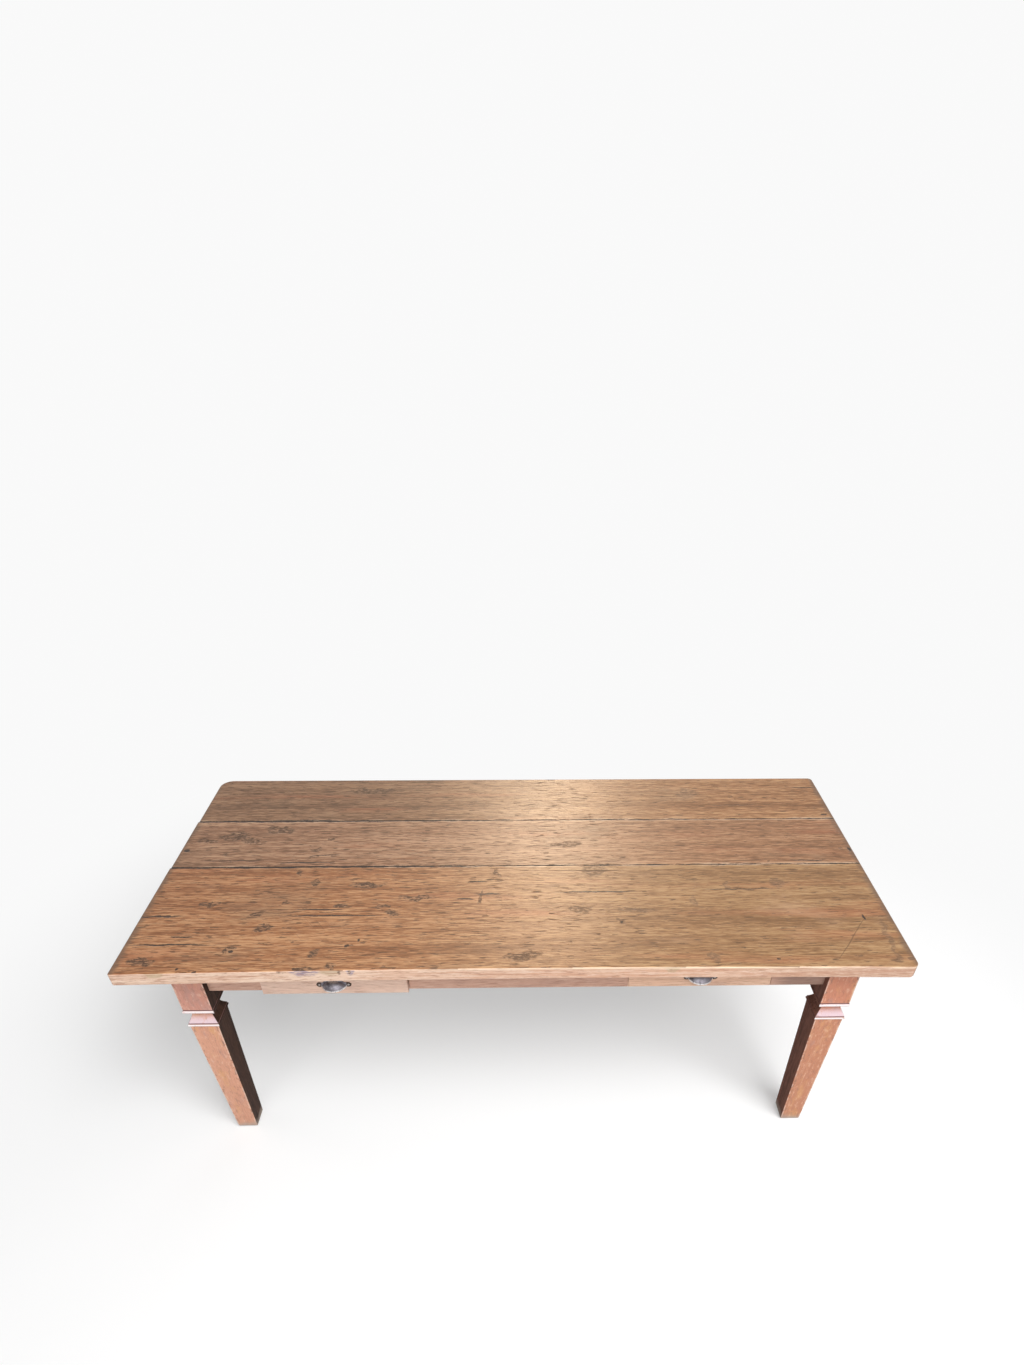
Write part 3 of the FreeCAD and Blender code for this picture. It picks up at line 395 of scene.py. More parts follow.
BOARDS = {
    "top_board_front": {
        "shift": (0.0, 0.0, 0.0),
        "heart": -0.205,
        "colours": (
            ((0.205, 0.078, 0.030), (0.375, 0.165, 0.072), (0.560, 0.300, 0.150)),
            ((0.190, 0.094, 0.040), (0.304, 0.161, 0.072), (0.430, 0.258, 0.126)),
        ),
        "cracks": (
            (-0.990, -0.252, 0.060, 0.0036), (-0.554, -0.227, 0.075, 0.0028),
            (-0.523, -0.253, 0.150, 0.0030), (-0.084, -0.164, 0.046, 0.0030),
            (0.218, -0.157, 0.130, 0.0030), (-0.900, -0.336, 0.036, 0.0030),
            (-0.924, -0.366, 0.110, 0.0034), (-0.118, -0.106, 0.032, 0.0034),
            (-0.152, -0.186, 0.026, 0.0036), (0.961, -0.278, 0.0034, 0.014),
            (0.640, -0.150, 0.110, 0.0024),
        ),
        "knots": (
            (-0.968, -0.252, 0.013, 0.006), (-0.751, -0.395, 0.008, 0.006),
            (-0.453, -0.377, 0.007, 0.006), (-0.425, -0.354, 0.004, 0.008),
            (0.285, -0.290, 0.005, 0.005), (-0.869, -0.458, 0.005, 0.004),
            (-0.822, -0.470, 0.006, 0.004), (0.679, -0.441, 0.006, 0.003),
        ),
        "rubs": (
            (-0.870, -0.199, 0.032, 0.014), (-0.975, -0.428, 0.042, 0.018),
            (-0.723, -0.248, 0.015, 0.011), (-0.649, -0.201, 0.016, 0.011),
            (0.227, -0.056, 0.042, 0.032), (0.178, -0.231, 0.036, 0.020),
            (0.007, -0.420, 0.060, 0.016), (0.604, -0.128, 0.012, 0.018),
            (0.762, -0.120, 0.026, 0.026), (0.504, -0.205, 0.018, 0.026),
            (0.518, -0.429, 0.018, 0.020), (1.000, -0.357, 0.012, 0.075),
            (-0.690, -0.300, 0.030, 0.012), (-0.544, -0.462, 0.028, 0.010),
            (-0.113, -0.174, 0.007, 0.030), (-0.064, -0.062, 0.006, 0.020),
            (-0.074, -0.096, 0.022, 0.006), (-0.355, -0.245, 0.030, 0.012),
            (-0.300, -0.180, 0.060, 0.014), (0.330, -0.240, 0.060, 0.014),
            (-0.593, -0.104, 0.018, 0.018), (-0.643, -0.057, 0.012, 0.014),
            (-0.493, -0.211, 0.018, 0.014), (-0.384, -0.219, 0.026, 0.010),
            (-0.434, -0.118, 0.060, 0.012), (-0.536, -0.406, 0.022, 0.012),
            (-0.477, -0.453, 0.016, 0.010), (0.279, -0.289, 0.018, 0.012),
            (0.998, -0.441, 0.014, 0.022), (-0.765, -0.385, 0.030, 0.012),
        ),
        "slants": ((0.8985, -0.3645, 0.120, 0.0018),),
    },
    "top_board_middle": {
        "shift": (3.7, 1.3, 0.2),
        "heart": 0.120,
        "colours": (
            ((0.180, 0.088, 0.046), (0.325, 0.165, 0.090), (0.495, 0.295, 0.180)),
            ((0.170, 0.080, 0.038), (0.300, 0.145, 0.070), (0.460, 0.255, 0.140)),
        ),
        "cracks": (
            (-0.642, -0.007, 0.085, 0.0028), (-0.860, 0.004, 0.090, 0.0024),
            (-0.590, 0.030, 0.045, 0.0020), (0.880, -0.012, 0.060, 0.0028),
        ),
        "knots": ((-1.019, 0.057, 0.010, 0.008), (1.029, 0.044, 0.006, 0.012)),
        "rubs": (
            (-0.885, 0.133, 0.062, 0.027), (-0.624, 0.058, 0.025, 0.010),
            (-0.627, 0.021, 0.020, 0.006), (-0.583, 0.116, 0.016, 0.012),
            (-0.980, 0.110, 0.040, 0.016), (-0.839, 0.108, 0.034, 0.016),
            (-0.892, 0.043, 0.012, 0.016), (0.145, 0.082, 0.060, 0.014),
            (-0.760, 0.165, 0.050, 0.022),
        ),
        "slants": (),
    },
    "top_board_back": {
        "shift": (7.1, 2.9, 0.4),
        "heart": 0.315,
        "colours": (
            ((0.130, 0.064, 0.030), (0.245, 0.125, 0.064), (0.375, 0.215, 0.120)),
            ((0.185, 0.080, 0.030), (0.335, 0.160, 0.070), (0.510, 0.285, 0.140)),
        ),
        "cracks": (
            (0.993, 0.411, 0.046, 0.0030), (0.720, 0.300, 0.080, 0.0018),
            (-0.700, 0.222, 0.120, 0.0024),
        ),
        "knots": ((1.011, 0.240, 0.012, 0.006),),
        "rubs": ((0.577, 0.377, 0.046, 0.034), (-0.500, 0.400, 0.080, 0.020)),
        "slants": (),
    },
}
for board_name, board in BOARDS.items():
    dress(board_name, top_wood(f"{board_name}_wood", **board))


# Tongues, battens and kickers under the top
# Plain sawn softwood, never finished: tongues in the joints, battens across the boards, and a
# kicker over each drawer. Battens and kickers are screwed up into the boards from below.

def turned_log(place, along, shift):
    """The place with the grain's axis put first, moved to a stretch of wood of its own."""
    order = {"X": "XYZ", "Y": "YXZ", "Z": "ZXY"}[along]
    axes = {number: part_of(place, axis) for number, axis in enumerate(order)}
    return stretched(place.node("ShaderNodeCombineXYZ", axes), (1, 1, 1), shift)


DUST = (0.21, 0.145, 0.095)
INNER_PORES = (0.16, 0.095, 0.055)


def inner_wood(name, along, dark, pale, shift):
    """Unfinished softwood whose grain runs along the named axis, browned by age and dust."""
    material, place = new_material(name)
    log = turned_log(place, along, shift)
    grain, pores = plank_grain(log)
    dust = noise(log, 9.0, 4.0, 0.6)
    saw_marks = noise(stretched(log, (260.0, 6.0, 6.0)), 1.0, 2.0)
    colour = laid(dark, pale, rise(grain, 0.34, 0.66))
    colour = laid(colour, DUST, rise(dust, 0.50, 0.72) * 0.6)
    colour = laid(colour, INNER_PORES, pores * 0.4)
    relief = grain * 0.4 + saw_marks * 0.15 - pores * 0.15
    close_material(place, colour, 0.62 + dust * 0.22, relief)
    return material


batten_wood = inner_wood("batten_wood", "Y", (0.27, 0.165, 0.09), (0.45, 0.300, 0.180), (2, 5, 1))
for batten_side in ("left", "middle", "right"):
    dress(f"top_batten_{batten_side}", batten_wood)
kicker_wood = inner_wood("kicker_wood", "Y", (0.29, 0.175, 0.10), (0.47, 0.315, 0.190), (6, 1, 3))
tongue_wood = inner_wood("tongue_wood", "X", (0.30, 0.190, 0.11), (0.49, 0.330, 0.200), (1, 2, 6))
for side in ("left", "right"):
    dress(f"drawer_kicker_{side}", kicker_wood)
for joint in ("front", "back"):
    dress(f"top_tongue_{joint}", tongue_wood)


GREY_STEEL = (0.34, 0.33, 0.33)
RUST = (0.17, 0.085, 0.045)


def screw_steel(name):
    """Old bright steel that has gone grey, with rust in patches."""
    material, place = new_material(name)
    rust = rise(noise(place, 420.0, 4.0, 0.65), 0.46, 0.66)
    wear = noise(place, 900.0, 2.0)
    colour = laid(GREY_STEEL, RUST, rust)
    close_material(place, colour, 0.34 + rust * 0.4, wear * 0.03 - rust * 0.02, 1.0 - rust * 0.75)
    return material


SCREW_STEEL = screw_steel("screw_steel")
HEAD_FACETS = 20
HEAD_RINGS = 10
CUTTER_RADII = 3.0
SLOT_SHARE = 0.26


def screw_tree():
    """Nodes that set a slotted, domed screw head on every point of a mesh, each turned by chance."""
    tree = bpy.data.node_groups.new("slotted_screws", "GeometryNodeTree")
    tree.interface.new_socket("Points", in_out="INPUT", socket_type="NodeSocketGeometry")
    for name, kind in (
        ("Head Radius", "NodeSocketFloat"),
        ("Head Height", "NodeSocketFloat"),
        ("Slot Width", "NodeSocketFloat"),
        ("Facing", "NodeSocketRotation"),
        ("Seed", "NodeSocketInt"),
    ):
        tree.interface.new_socket(name, in_out="INPUT", socket_type=kind)
    tree.interface.new_socket("Screws", in_out="OUTPUT", socket_type="NodeSocketGeometry")
    given = Wire(tree).node("NodeGroupInput").socket.node.outputs
    points, radius, height, slot, facing_turn, seed = [Wire(tree, given[number]) for number in range(6)]

    def triple(x, y, z):
        return points.node("ShaderNodeCombineXYZ", {0: x, 1: y, 2: z})

    ball = {"Segments": HEAD_FACETS, "Rings": HEAD_RINGS, "Radius": radius}
    ball = points.node("GeometryNodeMeshUVSphere", ball)
    flatter = triple(1.0, 1.0, points.maths("DIVIDE", height, radius))
    dome = points.node("GeometryNodeTransform", {"Geometry": ball, "Scale": flatter})
    wide = radius * CUTTER_RADII
    block = points.node("GeometryNodeMeshCube", {"Size": triple(wide, wide, wide)})
    sunk = triple(0.0, 0.0, radius * (-CUTTER_RADII / 2))
    block = points.node("GeometryNodeTransform", {"Geometry": block, "Translation": sunk})
    cut = points.node("GeometryNodeMeshCube", {"Size": triple(wide, slot, height)})
    raised = triple(0.0, 0.0, height)
    cut = points.node("GeometryNodeTransform", {"Geometry": cut, "Translation": raised})
    cutters = points.node("GeometryNodeJoinGeometry", {"Geometry": block})
    tree.links.new(cut.socket, cutters.socket.node.inputs[0])
    head = points.node("GeometryNodeMeshBoolean", {0: dome, 1: cutters}, operation="DIFFERENCE")
    spin = points.node("FunctionNodeRandomValue", {2: 0.0, 3: math.tau, "Seed": seed}, output=1)
    spin = points.node("FunctionNodeEulerToRotation", {0: triple(0.0, 0.0, spin)})
    turned = {0: facing_turn, 1: spin}
    turned = points.node("FunctionNodeRotateRotation", turned, rotation_space="LOCAL")
    placed = {"Points": points, "Instance": head, "Rotation": turned}
    placed = points.node("GeometryNodeInstanceOnPoints", placed)
    real = points.node("GeometryNodeRealizeInstances", {"Geometry": placed})
    steel = points.node("GeometryNodeSetMaterial", {"Geometry": real, "Material": SCREW_STEEL})
    points.node("NodeGroupOutput", {"Screws": steel})
    return tree


def screw_seats(node_name, axis, head_height):
    """Middle of each screw's seat, read from the frame's own screws, whose heads look down the axis."""
    shape = bmesh.new()
    shape.from_mesh(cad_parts[node_name].data)
    bmesh.ops.remove_doubles(shape, verts=shape.verts, dist=0.00001)
    waiting = set(shape.verts)
    seats = []
    while waiting:
        reached = [waiting.pop()]
        for vertex in reached:
            linked = {edge.other_vert(vertex) for edge in vertex.link_edges} & waiting
            waiting -= linked
            reached.extend(linked)
        lows = [min(vertex.co[way] for vertex in reached) for way in range(3)]
        highs = [max(vertex.co[way] for vertex in reached) for way in range(3)]
        seat = [(low + high) / 2 for low, high in zip(lows, highs)]
        seat[axis] = lows[axis] + head_height
        seats.append(tuple(seat))
    shape.free()
    return sorted(seats)


def fit_screws(node_name, body, axis, radius, height, seed):
    """Stands slotted heads for one group of the frame's screws; axis 1 looks forward and 2 down."""
    mesh = bpy.data.meshes.new(f"{node_name}_points")
    mesh.from_pydata(screw_seats(node_name, axis, height), [], [])
    holder = bpy.data.objects.new(f"{node_name}_points", mesh)
    bpy.context.scene.collection.objects.link(holder)
    modifier = holder.modifiers.new("screws", "NODES")
    modifier.node_group = SCREW_TREE
    facing_turn = (math.pi, 0.0, 0.0) if axis == 2 else (math.pi / 2, 0.0, 0.0)
    settings = {
        "Head Radius": radius,
        "Head Height": height,
        "Slot Width": radius * SLOT_SHARE,
        "Facing": facing_turn,
        "Seed": seed,
    }
    for socket in SCREW_TREE.interface.items_tree:
        if socket.name in settings:
            modifier[socket.identifier] = settings[socket.name]
    evaluated = holder.evaluated_get(bpy.context.evaluated_depsgraph_get())
    heads = bpy.data.objects.new(f"{node_name}_slotted", bpy.data.meshes.new_from_object(evaluated))
    bpy.context.scene.collection.objects.link(heads)
    bpy.data.objects.remove(holder)
    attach(heads, body)
    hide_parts(node_name)


WOOD_SCREW_RADIUS = 0.0046
WOOD_SCREW_HEIGHT = 0.0028
SCREW_TREE = screw_tree()
fit_screws("batten_screws", "frame", 2, WOOD_SCREW_RADIUS, WOOD_SCREW_HEIGHT, 3)


# Legs
# Square hardwood posts: a plain block at the joints, a neck of beads and a cove worked with hand
# planes on all four faces, and a taper to a worn foot. The faces that look inwards are painted dark
# as shade; the beads carry a painted highlight, the cove's lower part a painted reflection and the
# quirks painted shade.

BLOCK_BOTTOM = 0.575
BEAD = (0.561, 0.572)
FLARE_TOP = 0.548
COVE_LOW = 0.519
LOWER_BEAD = (0.507, 0.516)
BEAD_BORDER = 0.002
QUIRK_SINK = 0.0015
QUIRK_BORDER = (0.0030, 0.0012)
LEG_PLACE = (0.890, 0.370)
LEG_HALF_WIDTH = 0.042
TAPER_HALF_WIDTH = 0.0405
FOOT_HALF_WIDTH = 0.031
TAPER_SLOPE = (TAPER_HALF_WIDTH - FOOT_HALF_WIDTH) / LOWER_BEAD[0]
LEG_DARK = (0.46, 0.215, 0.140)
LEG_PALE = (0.74, 0.505, 0.375)
LEG_AMBER = (0.62, 0.33, 0.150)
LEG_MAUVE = (0.42, 0.245, 0.210)
SPECK_DARK = (0.31, 0.170, 0.125)
SPECK_PALE = (0.76, 0.530, 0.400)
ARRIS_CHIP = (0.24, 0.130, 0.095)
ARRIS_RUBBED = (0.76, 0.560, 0.450)
COVE_SKY_REFLECTION = (0.62, 0.500, 0.555)
BEAD_WEAR_AND_HIGHLIGHT = (0.84, 0.755, 0.755)
# Tone of the painted shade in the quirks.
QUIRK_SHADE = (0.175, 0.100, 0.105)
FOOT_GREY = (0.40, 0.330, 0.280)
FRAME_PORES = (0.17, 0.085, 0.055)


def band(height, low, high):
    """1 between two heights, with soft borders inside them."""
    return rise(height, low, low + BEAD_BORDER) * rise(height, high, high - BEAD_BORDER)


def arris_inset(place, height):
    """How far the surface lies inside the leg's nearest long arris, in metres."""
    half_width = place.maths("MINIMUM", height * TAPER_SLOPE + FOOT_HALF_WIDTH, LEG_HALF_WIDTH)
    insets = [
        half_width - abs(abs(part_of(place, axis)) - middle)
        for axis, middle in zip("XY", LEG_PLACE)
    ]
    return insets[0] | insets[1]


def leg_wood(name, shift, block, taper, inner_shades, inwards):
    """Pinkish worn wood along Z, with painted shade on the faces that look inwards; inwards gives their X
    and Y signs.
    """
    material, place = new_material(name)
    log = turned_log(place, "Z", shift)
    grain, pores = plank_grain(log)
    mottle = noise(stretched(log, (9.0, 24.0, 24.0)), 1.0, 4.0, 0.6)
    height = part_of(place, "Z")
    colour = laid(block, taper, rise(height, BLOCK_BOTTOM, LOWER_BEAD[0]))
    colour = laid(colour, LEG_DARK, rise(grain, 0.52, 0.34) * 0.65)
    colour = laid(colour, LEG_PALE, rise(grain, 0.53, 0.68) * 0.6)
    colour = laid(colour, LEG_AMBER, rise(mottle, 0.53, 0.68) * 0.55)
    colour = laid(colour, LEG_MAUVE, rise(mottle, 0.46, 0.32) * 0.6)
    specks = noise(stretched(log, (45.0, 110.0, 110.0), (2, 3, 4)), 1.0, 3.0, 0.65)
    colour = laid(colour, SPECK_DARK, rise(specks, 0.57, 0.68) * 0.5)
    colour = laid(colour, SPECK_PALE, rise(specks, 0.46, 0.31) * 0.36)

    worn = noise(place, 55.0, 3.0)
    inset = arris_inset(place, height)
    colour = laid(colour, ARRIS_CHIP, rise(inset, 0.013, 0.006) * rise(specks, 0.54, 0.63) * 0.6)
    colour = laid(colour, ARRIS_RUBBED, rise(inset, 0.006, 0.0025) * rise(worn, 0.40, 0.55) * 0.65)
    # The beads turn near white: partly wear, partly a painted highlight.
    beads = band(height, *BEAD) | band(height, *LOWER_BEAD)
    # The cove's lower part, where it flares out, takes a painted reflection of the sky.
    flare_reflection = rise(height, FLARE_TOP, COVE_LOW + 0.004) * rise(height, COVE_LOW - 0.001, COVE_LOW + 0.001)
    # Thin dark lines just under the block and just under the cove: painted shade in the quirks.
    upper_quirk_shade, lower_quirk_shade = [
        rise(abs(height - (edge - QUIRK_SINK)), *QUIRK_BORDER)
        for edge in (BLOCK_BOTTOM, COVE_LOW)
    ]
    # Painted sky reflection: pale lilac on the cove's lower part.
    colour = laid(colour, COVE_SKY_REFLECTION, flare_reflection * rise(worn, 0.22, 0.42) * 0.85)
    # Painted highlight on the beads, with wear.
    colour = laid(colour, BEAD_WEAR_AND_HIGHLIGHT, beads * rise(worn, 0.22, 0.42))
    colour = laid(colour, QUIRK_SHADE, (upper_quirk_shade | lower_quirk_shade) * 0.9)

    # Painted shade on the faces that look inwards, in two dark tones mixed by the grain.
    inward_x, inward_y = [facing(place, axis) * sign for axis, sign in zip("XY", inwards)]
    inward = rise(inward_x, 0.35, 0.7) | rise(inward_y, 0.35, 0.7)
    inner_shade = laid(*inner_shades, rise(grain, 0.40, 0.60))
    colour = laid(colour, inner_shade, inward)
    foot_dirt = rise(part_of(ragged(place, 0.05, 20.0), "Z"), 0.040, 0.004)
    colour = laid(colour, FOOT_GREY, foot_dirt * 0.8)
    colour = laid(colour, FRAME_PORES, pores * 0.4)
    relief = grain * 0.3 + mottle * 0.35 + specks * 0.2 - pores * 0.12
    roughness = 0.46 + mottle * 0.14 + foot_dirt * 0.2 + inward * 0.25
    close_material(place, colour, roughness, relief, gloss=0.2)
    return material


# Two tones of painted shade for the inward faces: brown on the right legs, near black on the left.
BROWN_INNER_SHADE = ((0.092, 0.036, 0.024), (0.225, 0.096, 0.066))
BLACK_INNER_SHADE = ((0.020, 0.009, 0.006), (0.058, 0.027, 0.017))
LEGS = {
    "leg_front_left": ((0, 4, 2), (0.535, 0.260, 0.200), (0.605, 0.308, 0.208), BLACK_INNER_SHADE, (1, 1)),
    "leg_front_right": ((3, 1, 7), (0.540, 0.225, 0.142), (0.490, 0.213, 0.126), BROWN_INNER_SHADE, (-1, 1)),
    "leg_back_left": ((5, 2, 4), (0.530, 0.275, 0.200), (0.600, 0.325, 0.220), BLACK_INNER_SHADE, (1, -1)),
    "leg_back_right": ((8, 6, 1), (0.550, 0.268, 0.185), (0.600, 0.310, 0.205), BROWN_INNER_SHADE, (-1, -1)),
}
for leg_name, leg_values in LEGS.items():
    dress(leg_name, leg_wood(f"{leg_name}_wood", *leg_values))


# Aprons
# Four boards of the same wood as the legs, tenoned into them; the front one is cut out for the
# drawers. They are rubbed and waxed like the legs, and greyer near one end.

APRON_MOTTLE = (0.40, 0.250, 0.205)
APRON_GREYING = (0.190, 0.120, 0.098)
APRON_UNDER = (0.30, 0.19, 0.13)
GREYING_FADE = 0.06


def apron_wood(name, along, shift, base, dark, pale, greying_from):
    """Worn pinkish board whose grain runs along the named axis, greyer towards one end."""
    material, place = new_material(name)
    log = turned_log(place, along, shift)
    grain, pores = plank_grain(log)
    mottle = noise(stretched(log, (5.0, 20.0, 20.0)), 1.0, 4.0, 0.6)
    colour = laid(base, dark, rise(grain, 0.50, 0.32) * 0.8)
    colour = laid(colour, pale, rise(grain, 0.52, 0.68) * 0.8)
    colour = laid(colour, APRON_MOTTLE, rise(mottle, 0.52, 0.72) * 0.5)
    specks = noise(stretched(log, (22.0, 150.0, 250.0), (2, 3, 4)), 1.0, 3.0, 0.65)
    colour = laid(colour, dark, rise(specks, 0.53, 0.68) * 0.7)
    colour = laid(colour, pale, rise(specks, 0.46, 0.32) * 0.6)
    colour = laid(colour, FRAME_PORES, pores * 0.45)
    # The board turns greyer past a point along its length.
    dirt = rise(part_of(ragged(place, 0.08, 12.0), along), greying_from, greying_from + GREYING_FADE)
    colour = laid(colour, APRON_GREYING, dirt * 0.6)
    low_edge = rise(facing(place, "Z"), -0.4, -0.8)
    colour = laid(colour, APRON_UNDER, low_edge * 0.5)
    relief = grain * 0.35 + mottle * 0.3 + specks * 0.2 - pores * 0.12
    close_material(place, colour, 0.48 + mottle * 0.16, relief)
    return material


RUBBED_PINK = (0.530, 0.315, 0.235)
RUBBED_DARK = (0.300, 0.155, 0.105)
RUBBED_PALE = (0.640, 0.440, 0.340)
APRONS = {
    "apron_front": ("X", (1, 3, 5), 0.69),
    "apron_back": ("X", (6, 2, 1), 0.66),
    "apron_left": ("Y", (2, 6, 3), 0.22),
    "apron_right": ("Y", (4, 4, 8), 0.24),
}
for apron_name, (along, shift, greying_from) in APRONS.items():
    tones = (RUBBED_PINK, RUBBED_DARK, RUBBED_PALE)
    dress(apron_name, apron_wood(f"{apron_name}_wood", along, shift, *tones, greying_from))


# Buttons that hold the top
# Small hardwood blocks under the top, each with a tongue in an apron's groove and one screw, so
# that the boards can swell and shrink.

button_wood = inner_wood("button_wood", "X", (0.26, 0.150, 0.08), (0.44, 0.285, 0.165), (3, 3, 9))
dress("top_buttons", button_wood)
fit_screws("button_screws", "frame", 2, WOOD_SCREW_RADIUS, WOOD_SCREW_HEIGHT, 8)


# Drawer runners and stops
# L-shaped softwood runners, tenoned into the front and back aprons, with a glued stop on each.

runner_wood = inner_wood("runner_wood", "Y", (0.28, 0.165, 0.09), (0.46, 0.300, 0.175), (7, 3, 2))
for runner in ("left_inner", "left_outer", "right_inner", "right_outer"):
    dress(f"drawer_runner_{runner}", runner_wood)
dress("drawer_stops", runner_wood)


# Drawers
# Fronts of the aprons' wood and softwood backs, dovetailed to softwood sides, with a thin bottom in
# grooves. The fronts are rubbed paler than the aprons.

DRAWER_WOODS = {
    "side": ("Y", (0.33, 0.205, 0.115), (0.52, 0.350, 0.210), (4, 7, 5)),
    "back": ("X", (0.32, 0.200, 0.115), (0.51, 0.345, 0.210), (9, 2, 4)),
    "bottom": ("X", (0.34, 0.215, 0.125), (0.54, 0.370, 0.225), (2, 9, 7)),
}
drawer_woods = {kind: inner_wood(f"drawer_{kind}_wood", *values) for kind, values in DRAWER_WOODS.items()}
FRONT_TONES = {
    "left": ((0.680, 0.470, 0.370), (0.430, 0.260, 0.192), (0.800, 0.620, 0.510)),
    "right": ((0.740, 0.470, 0.330), (0.460, 0.256, 0.170), (0.830, 0.605, 0.460)),
}
NO_GREYING = 2.0    # greying that starts past the ends of the table, so none shows
for side, (base, dark, pale) in FRONT_TONES.items():
    drawer = f"drawer_{side}"
    shift = (3, len(side), 6)
    dress(f"{drawer}_front", apron_wood(f"{drawer}_front_wood", "X", shift, base, dark, pale, NO_GREYING))
    for board_name in ("side_left", "side_right", "back", "bottom"):
        dress(f"{drawer}_{board_name}", drawer_woods[board_name.split("_")[0]])


# Cup pulls
# Half-round cups of cast iron, worn to a dull grey with a bright rim and crown, partly rubbed and
# partly painted highlight, on dark plates, each held to its drawer front by two small screws.

DRAWER_MIDDLE = 0.5
CUP_HALF_WIDTH = 0.034
CUP_BORDER = 0.001
IRON_GREY = (0.235, 0.220, 0.245)
IRON_DULL = (0.115, 0.104, 0.116)
# Pale iron of the crown and rim: rubbed wear and a painted highlight.
IRON_WEAR_AND_HIGHLIGHT = (0.700, 0.665, 0.650)
IRON_PLATE = (0.080, 0.056, 0.046)
IRON_RUST = (0.115, 0.080, 0.065)


def pull_iron(name):
    """Worn grey iron: dark on the plate and in the dirt, bright on crown and rim, partly rubbed and partly
    a painted highlight.
    """
    material, place = new_material(name)
    cast = noise(place, 240.0, 4.0, 0.6)
    dirt = noise(place, 60.0, 3.0)
    bottom, top = [corner[2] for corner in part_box("drawer_right_pull")]
    height = part_of(place, "Z")
    sideways = abs(abs(part_of(place, "X")) - DRAWER_MIDDLE)
    # Crown and rim turn pale: partly rubbed iron, partly a painted highlight.
    rim = rise(height, bottom + 0.0060, bottom + 0.0025)
    rubbed_and_highlight = rim | rise(height, top - 0.0090, top - 0.0040) * 0.8
    on_plate = rise(sideways, CUP_HALF_WIDTH - CUP_BORDER, CUP_HALF_WIDTH + CUP_BORDER)
    colour = laid(IRON_GREY, IRON_DULL, rise(dirt, 0.42, 0.66))
    colour = laid(colour, IRON_WEAR_AND_HIGHLIGHT, rubbed_and_highlight * rise(cast, 0.68, 0.46))
    colour = laid(colour, IRON_PLATE, on_plate)
    colour = laid(colour, IRON_RUST, rise(cast, 0.58, 0.74) * 0.6)
    metallic = 1.0 - rise(cast, 0.60, 0.76) * 0.5
    close_material(place, colour, 0.42 + cast * 0.20 - rubbed_and_highlight * 0.10, cast * 0.12, metallic)
    return material


PULL_SCREW_RADIUS = 0.0036
PULL_SCREW_HEIGHT = 0.0022
PULL_IRON = pull_iron("pull_iron")
for seed, side in enumerate(("left", "right")):
    drawer = f"drawer_{side}"
    dress(f"{drawer}_pull", PULL_IRON)
    fit_screws(f"{drawer}_pull_screws", drawer, 1, PULL_SCREW_RADIUS, PULL_SCREW_HEIGHT, seed)


# Floor, lights and camera
# A plain white floor under soft studio light, seen from where a standing person would look.

FLOOR_REACH = 40.0
FLOOR_WHITE = (0.92, 0.92, 0.92)
FLOOR_DULL = (0.22, 0.22, 0.22)
BACKDROP = 0.95
AMBIENT = 0.13
NEAR_GLOW = 0.29
floor_mesh = bpy.data.meshes.new("floor")
corners = [(-1, -1), (1, -1), (1, 1), (-1, 1)]
floor_mesh.from_pydata([(x * FLOOR_REACH, y * FLOOR_REACH, 0) for x, y in corners], [], [(0, 1, 2, 3)])
floor = bpy.data.objects.new("floor", floor_mesh)
bpy.context.scene.collection.objects.link(floor)


def watched(start):
    """1 for rays from the camera, and for the mirrored and passed rays that show the background."""
    kinds = ("Is Camera Ray", "Is Glossy Ray", "Is Transmission Ray")
    camera_ray, glossy_ray, passed_ray = [start.node("ShaderNodeLightPath", output=kind) for kind in kinds]
    return camera_ray | glossy_ray | passed_ray


floor_material, floor_place = new_material("floor_white")
distance = {0: floor_place}
distance = floor_place.node("ShaderNodeVectorMath", distance, output="Value", operation="LENGTH")
glow = floor_place.node("ShaderNodeEmission", {"Color": (BACKDROP, BACKDROP, BACKDROP), "Strength": 1.0})
white = floor_place.node("ShaderNodeBsdfDiffuse", {"Color": FLOOR_WHITE})
dull = floor_place.node("ShaderNodeBsdfDiffuse", {"Color": FLOOR_DULL})
far_floor = rise(distance, 1.3, 2.4) | rise(part_of(floor_place, "Y"), 0.7, 1.8)
share = far_floor * (1.0 - NEAR_GLOW) + NEAR_GLOW
pale = floor_place.node("ShaderNodeMixShader", {0: share, 1: white, 2: glow})
floor_surface = floor_place.node("ShaderNodeMixShader", {0: watched(floor_place), 1: dull, 2: pale})
floor_place.node("ShaderNodeOutputMaterial", {"Surface": floor_surface})
floor_mesh.materials.append(floor_material)

world = bpy.data.worlds.new("studio")
world.use_nodes = True
world.node_tree.nodes.clear()
sky = Wire(world.node_tree)
backdrop = sky.node("ShaderNodeBackground", {"Color": (1.0, 1.0, 1.0), "Strength": BACKDROP})
ambient = sky.node("ShaderNodeBackground", {"Color": (1.0, 1.0, 1.0), "Strength": AMBIENT})
sky_light = sky.node("ShaderNodeMixShader", {0: watched(sky), 1: ambient, 2: backdrop})
sky.node("ShaderNodeOutputWorld", {"Surface": sky_light})
bpy.context.scene.world = world


def softbox(name, place, target, width, height, power, tint=(1, 1, 1), shade=True, sheen=True):
    """A lamp that faces its target; shade and sheen say if it lights and if it shows in gloss."""
    lamp = bpy.data.lights.new(name, "AREA")
    lamp.shape = "RECTANGLE"
    lamp.size = width
    lamp.size_y = height
    lamp.energy = power
    lamp.color = tint
    lamp_object = bpy.data.objects.new(name, lamp)
    lamp_object.visible_camera = False
    lamp_object.visible_diffuse = shade
    lamp_object.visible_glossy = sheen
    aim = (Vector(target) - Vector(place)).to_track_quat("-Z", "Y")
    lamp_object.matrix_world = Matrix.Translation(place) @ aim.to_matrix().to_4x4()
    bpy.context.scene.collection.objects.link(lamp_object)


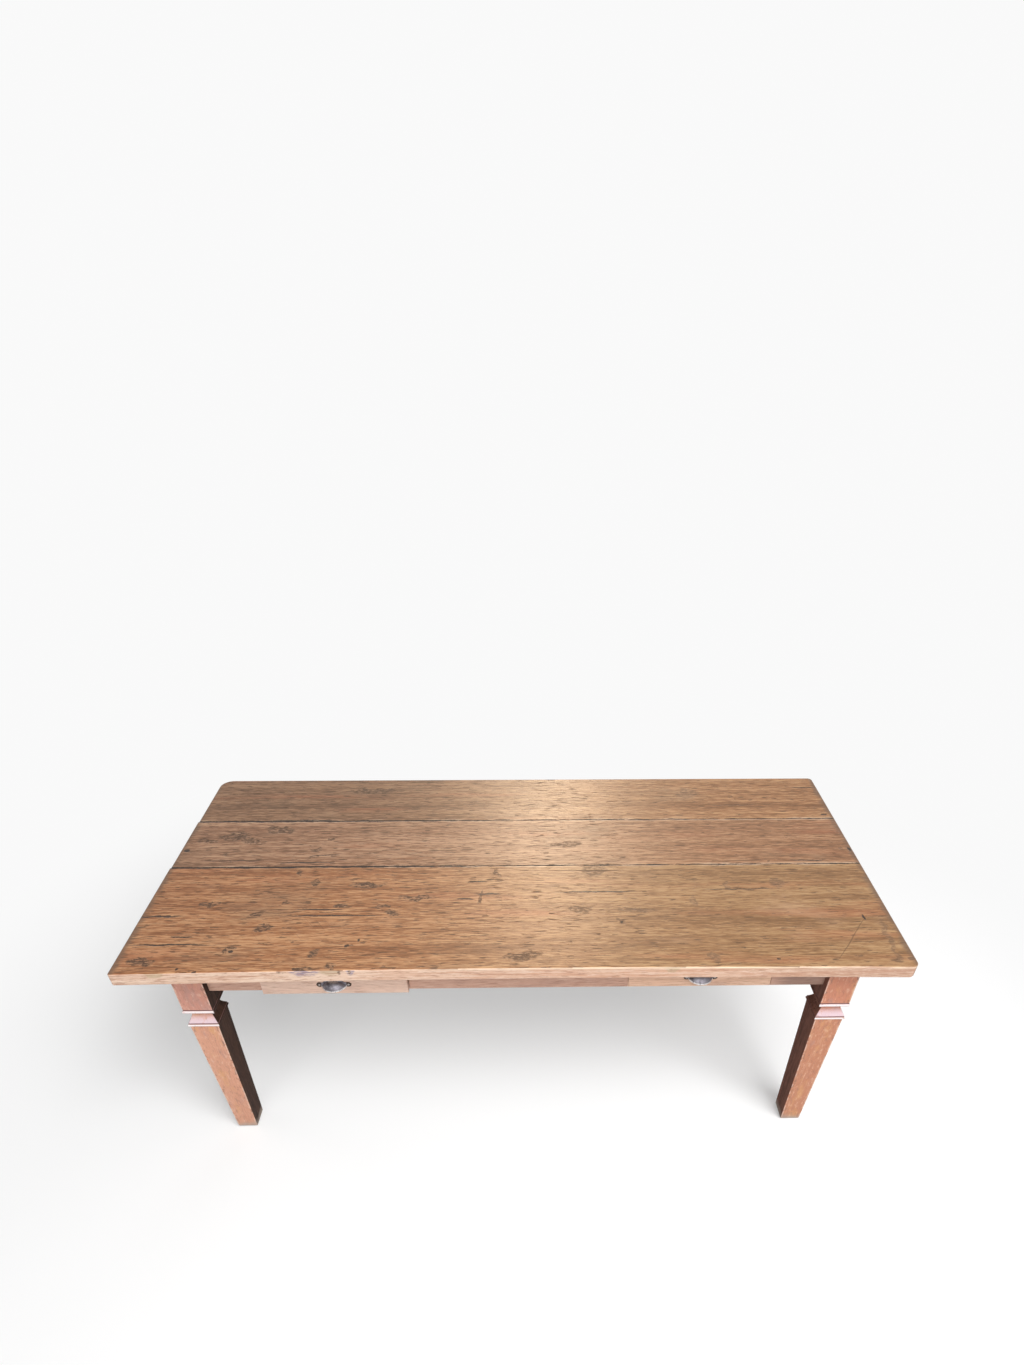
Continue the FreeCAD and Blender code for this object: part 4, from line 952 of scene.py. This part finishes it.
softbox("key", (2.3, -2.9, 5.6), (0, 0, 0.7), 3.2, 3.2, 390)
softbox("front", (-0.4, -6.5, 2.0), (0, 0, 0.6), 7.5, 3.6, 325)
softbox("rear", (0.6, 5.2, 1.1), (0, 0, 0.5), 4.5, 1.2, 130, sheen=False)
softbox("left", (-5.2, 0.4, 1.4), (0, 0, 0.5), 3.0, 1.5, 38, sheen=False)
softbox("right", (5.2, 0.4, 1.4), (0, 0, 0.5), 3.0, 1.5, 35, sheen=False)
WINDOW_TINT = (1.0, 0.80, 0.56)
softbox("window", (0.24, 3.4, 3.4), (0.09, 0, 0.78), 0.5, 2.8, 150, tint=WINDOW_TINT, shade=False)

# The camera was fitted to the photograph: focal length and centre in its pixels, place in metres
PHOTO_WIDTH = 1024
PHOTO_HEIGHT = 1365
FOCAL_PIXELS = 747.8
CENTRE_PIXEL = (540.0, 900.0)
CAMERA_PLACE = (0.018, -1.830, 2.138)
PITCH, YAW, ROLL = (math.radians(angle) for angle in (39.67, 1.525, 0.52))
SENSOR_WIDTH = 36.0

forward = Vector((math.sin(YAW) * math.cos(PITCH), math.cos(YAW) * math.cos(PITCH), -math.sin(PITCH)))
level = Vector((math.cos(YAW), -math.sin(YAW), 0))
upward = level.cross(forward)
right = level * math.cos(ROLL) + upward * math.sin(ROLL)
upright = upward * math.cos(ROLL) - level * math.sin(ROLL)
lens = bpy.data.cameras.new("camera")
lens.sensor_width = SENSOR_WIDTH
lens.lens = SENSOR_WIDTH * FOCAL_PIXELS / PHOTO_HEIGHT
lens.shift_x = (PHOTO_WIDTH / 2 - CENTRE_PIXEL[0]) / PHOTO_HEIGHT
lens.shift_y = (CENTRE_PIXEL[1] - PHOTO_HEIGHT / 2) / PHOTO_HEIGHT
camera = bpy.data.objects.new("camera", lens)
turn = Matrix((right, upright, -forward)).transposed().to_4x4()
camera.matrix_world = Matrix.Translation(CAMERA_PLACE) @ turn
bpy.context.scene.collection.objects.link(camera)
bpy.context.scene.camera = camera
bpy.context.scene.view_settings.view_transform = "Standard"
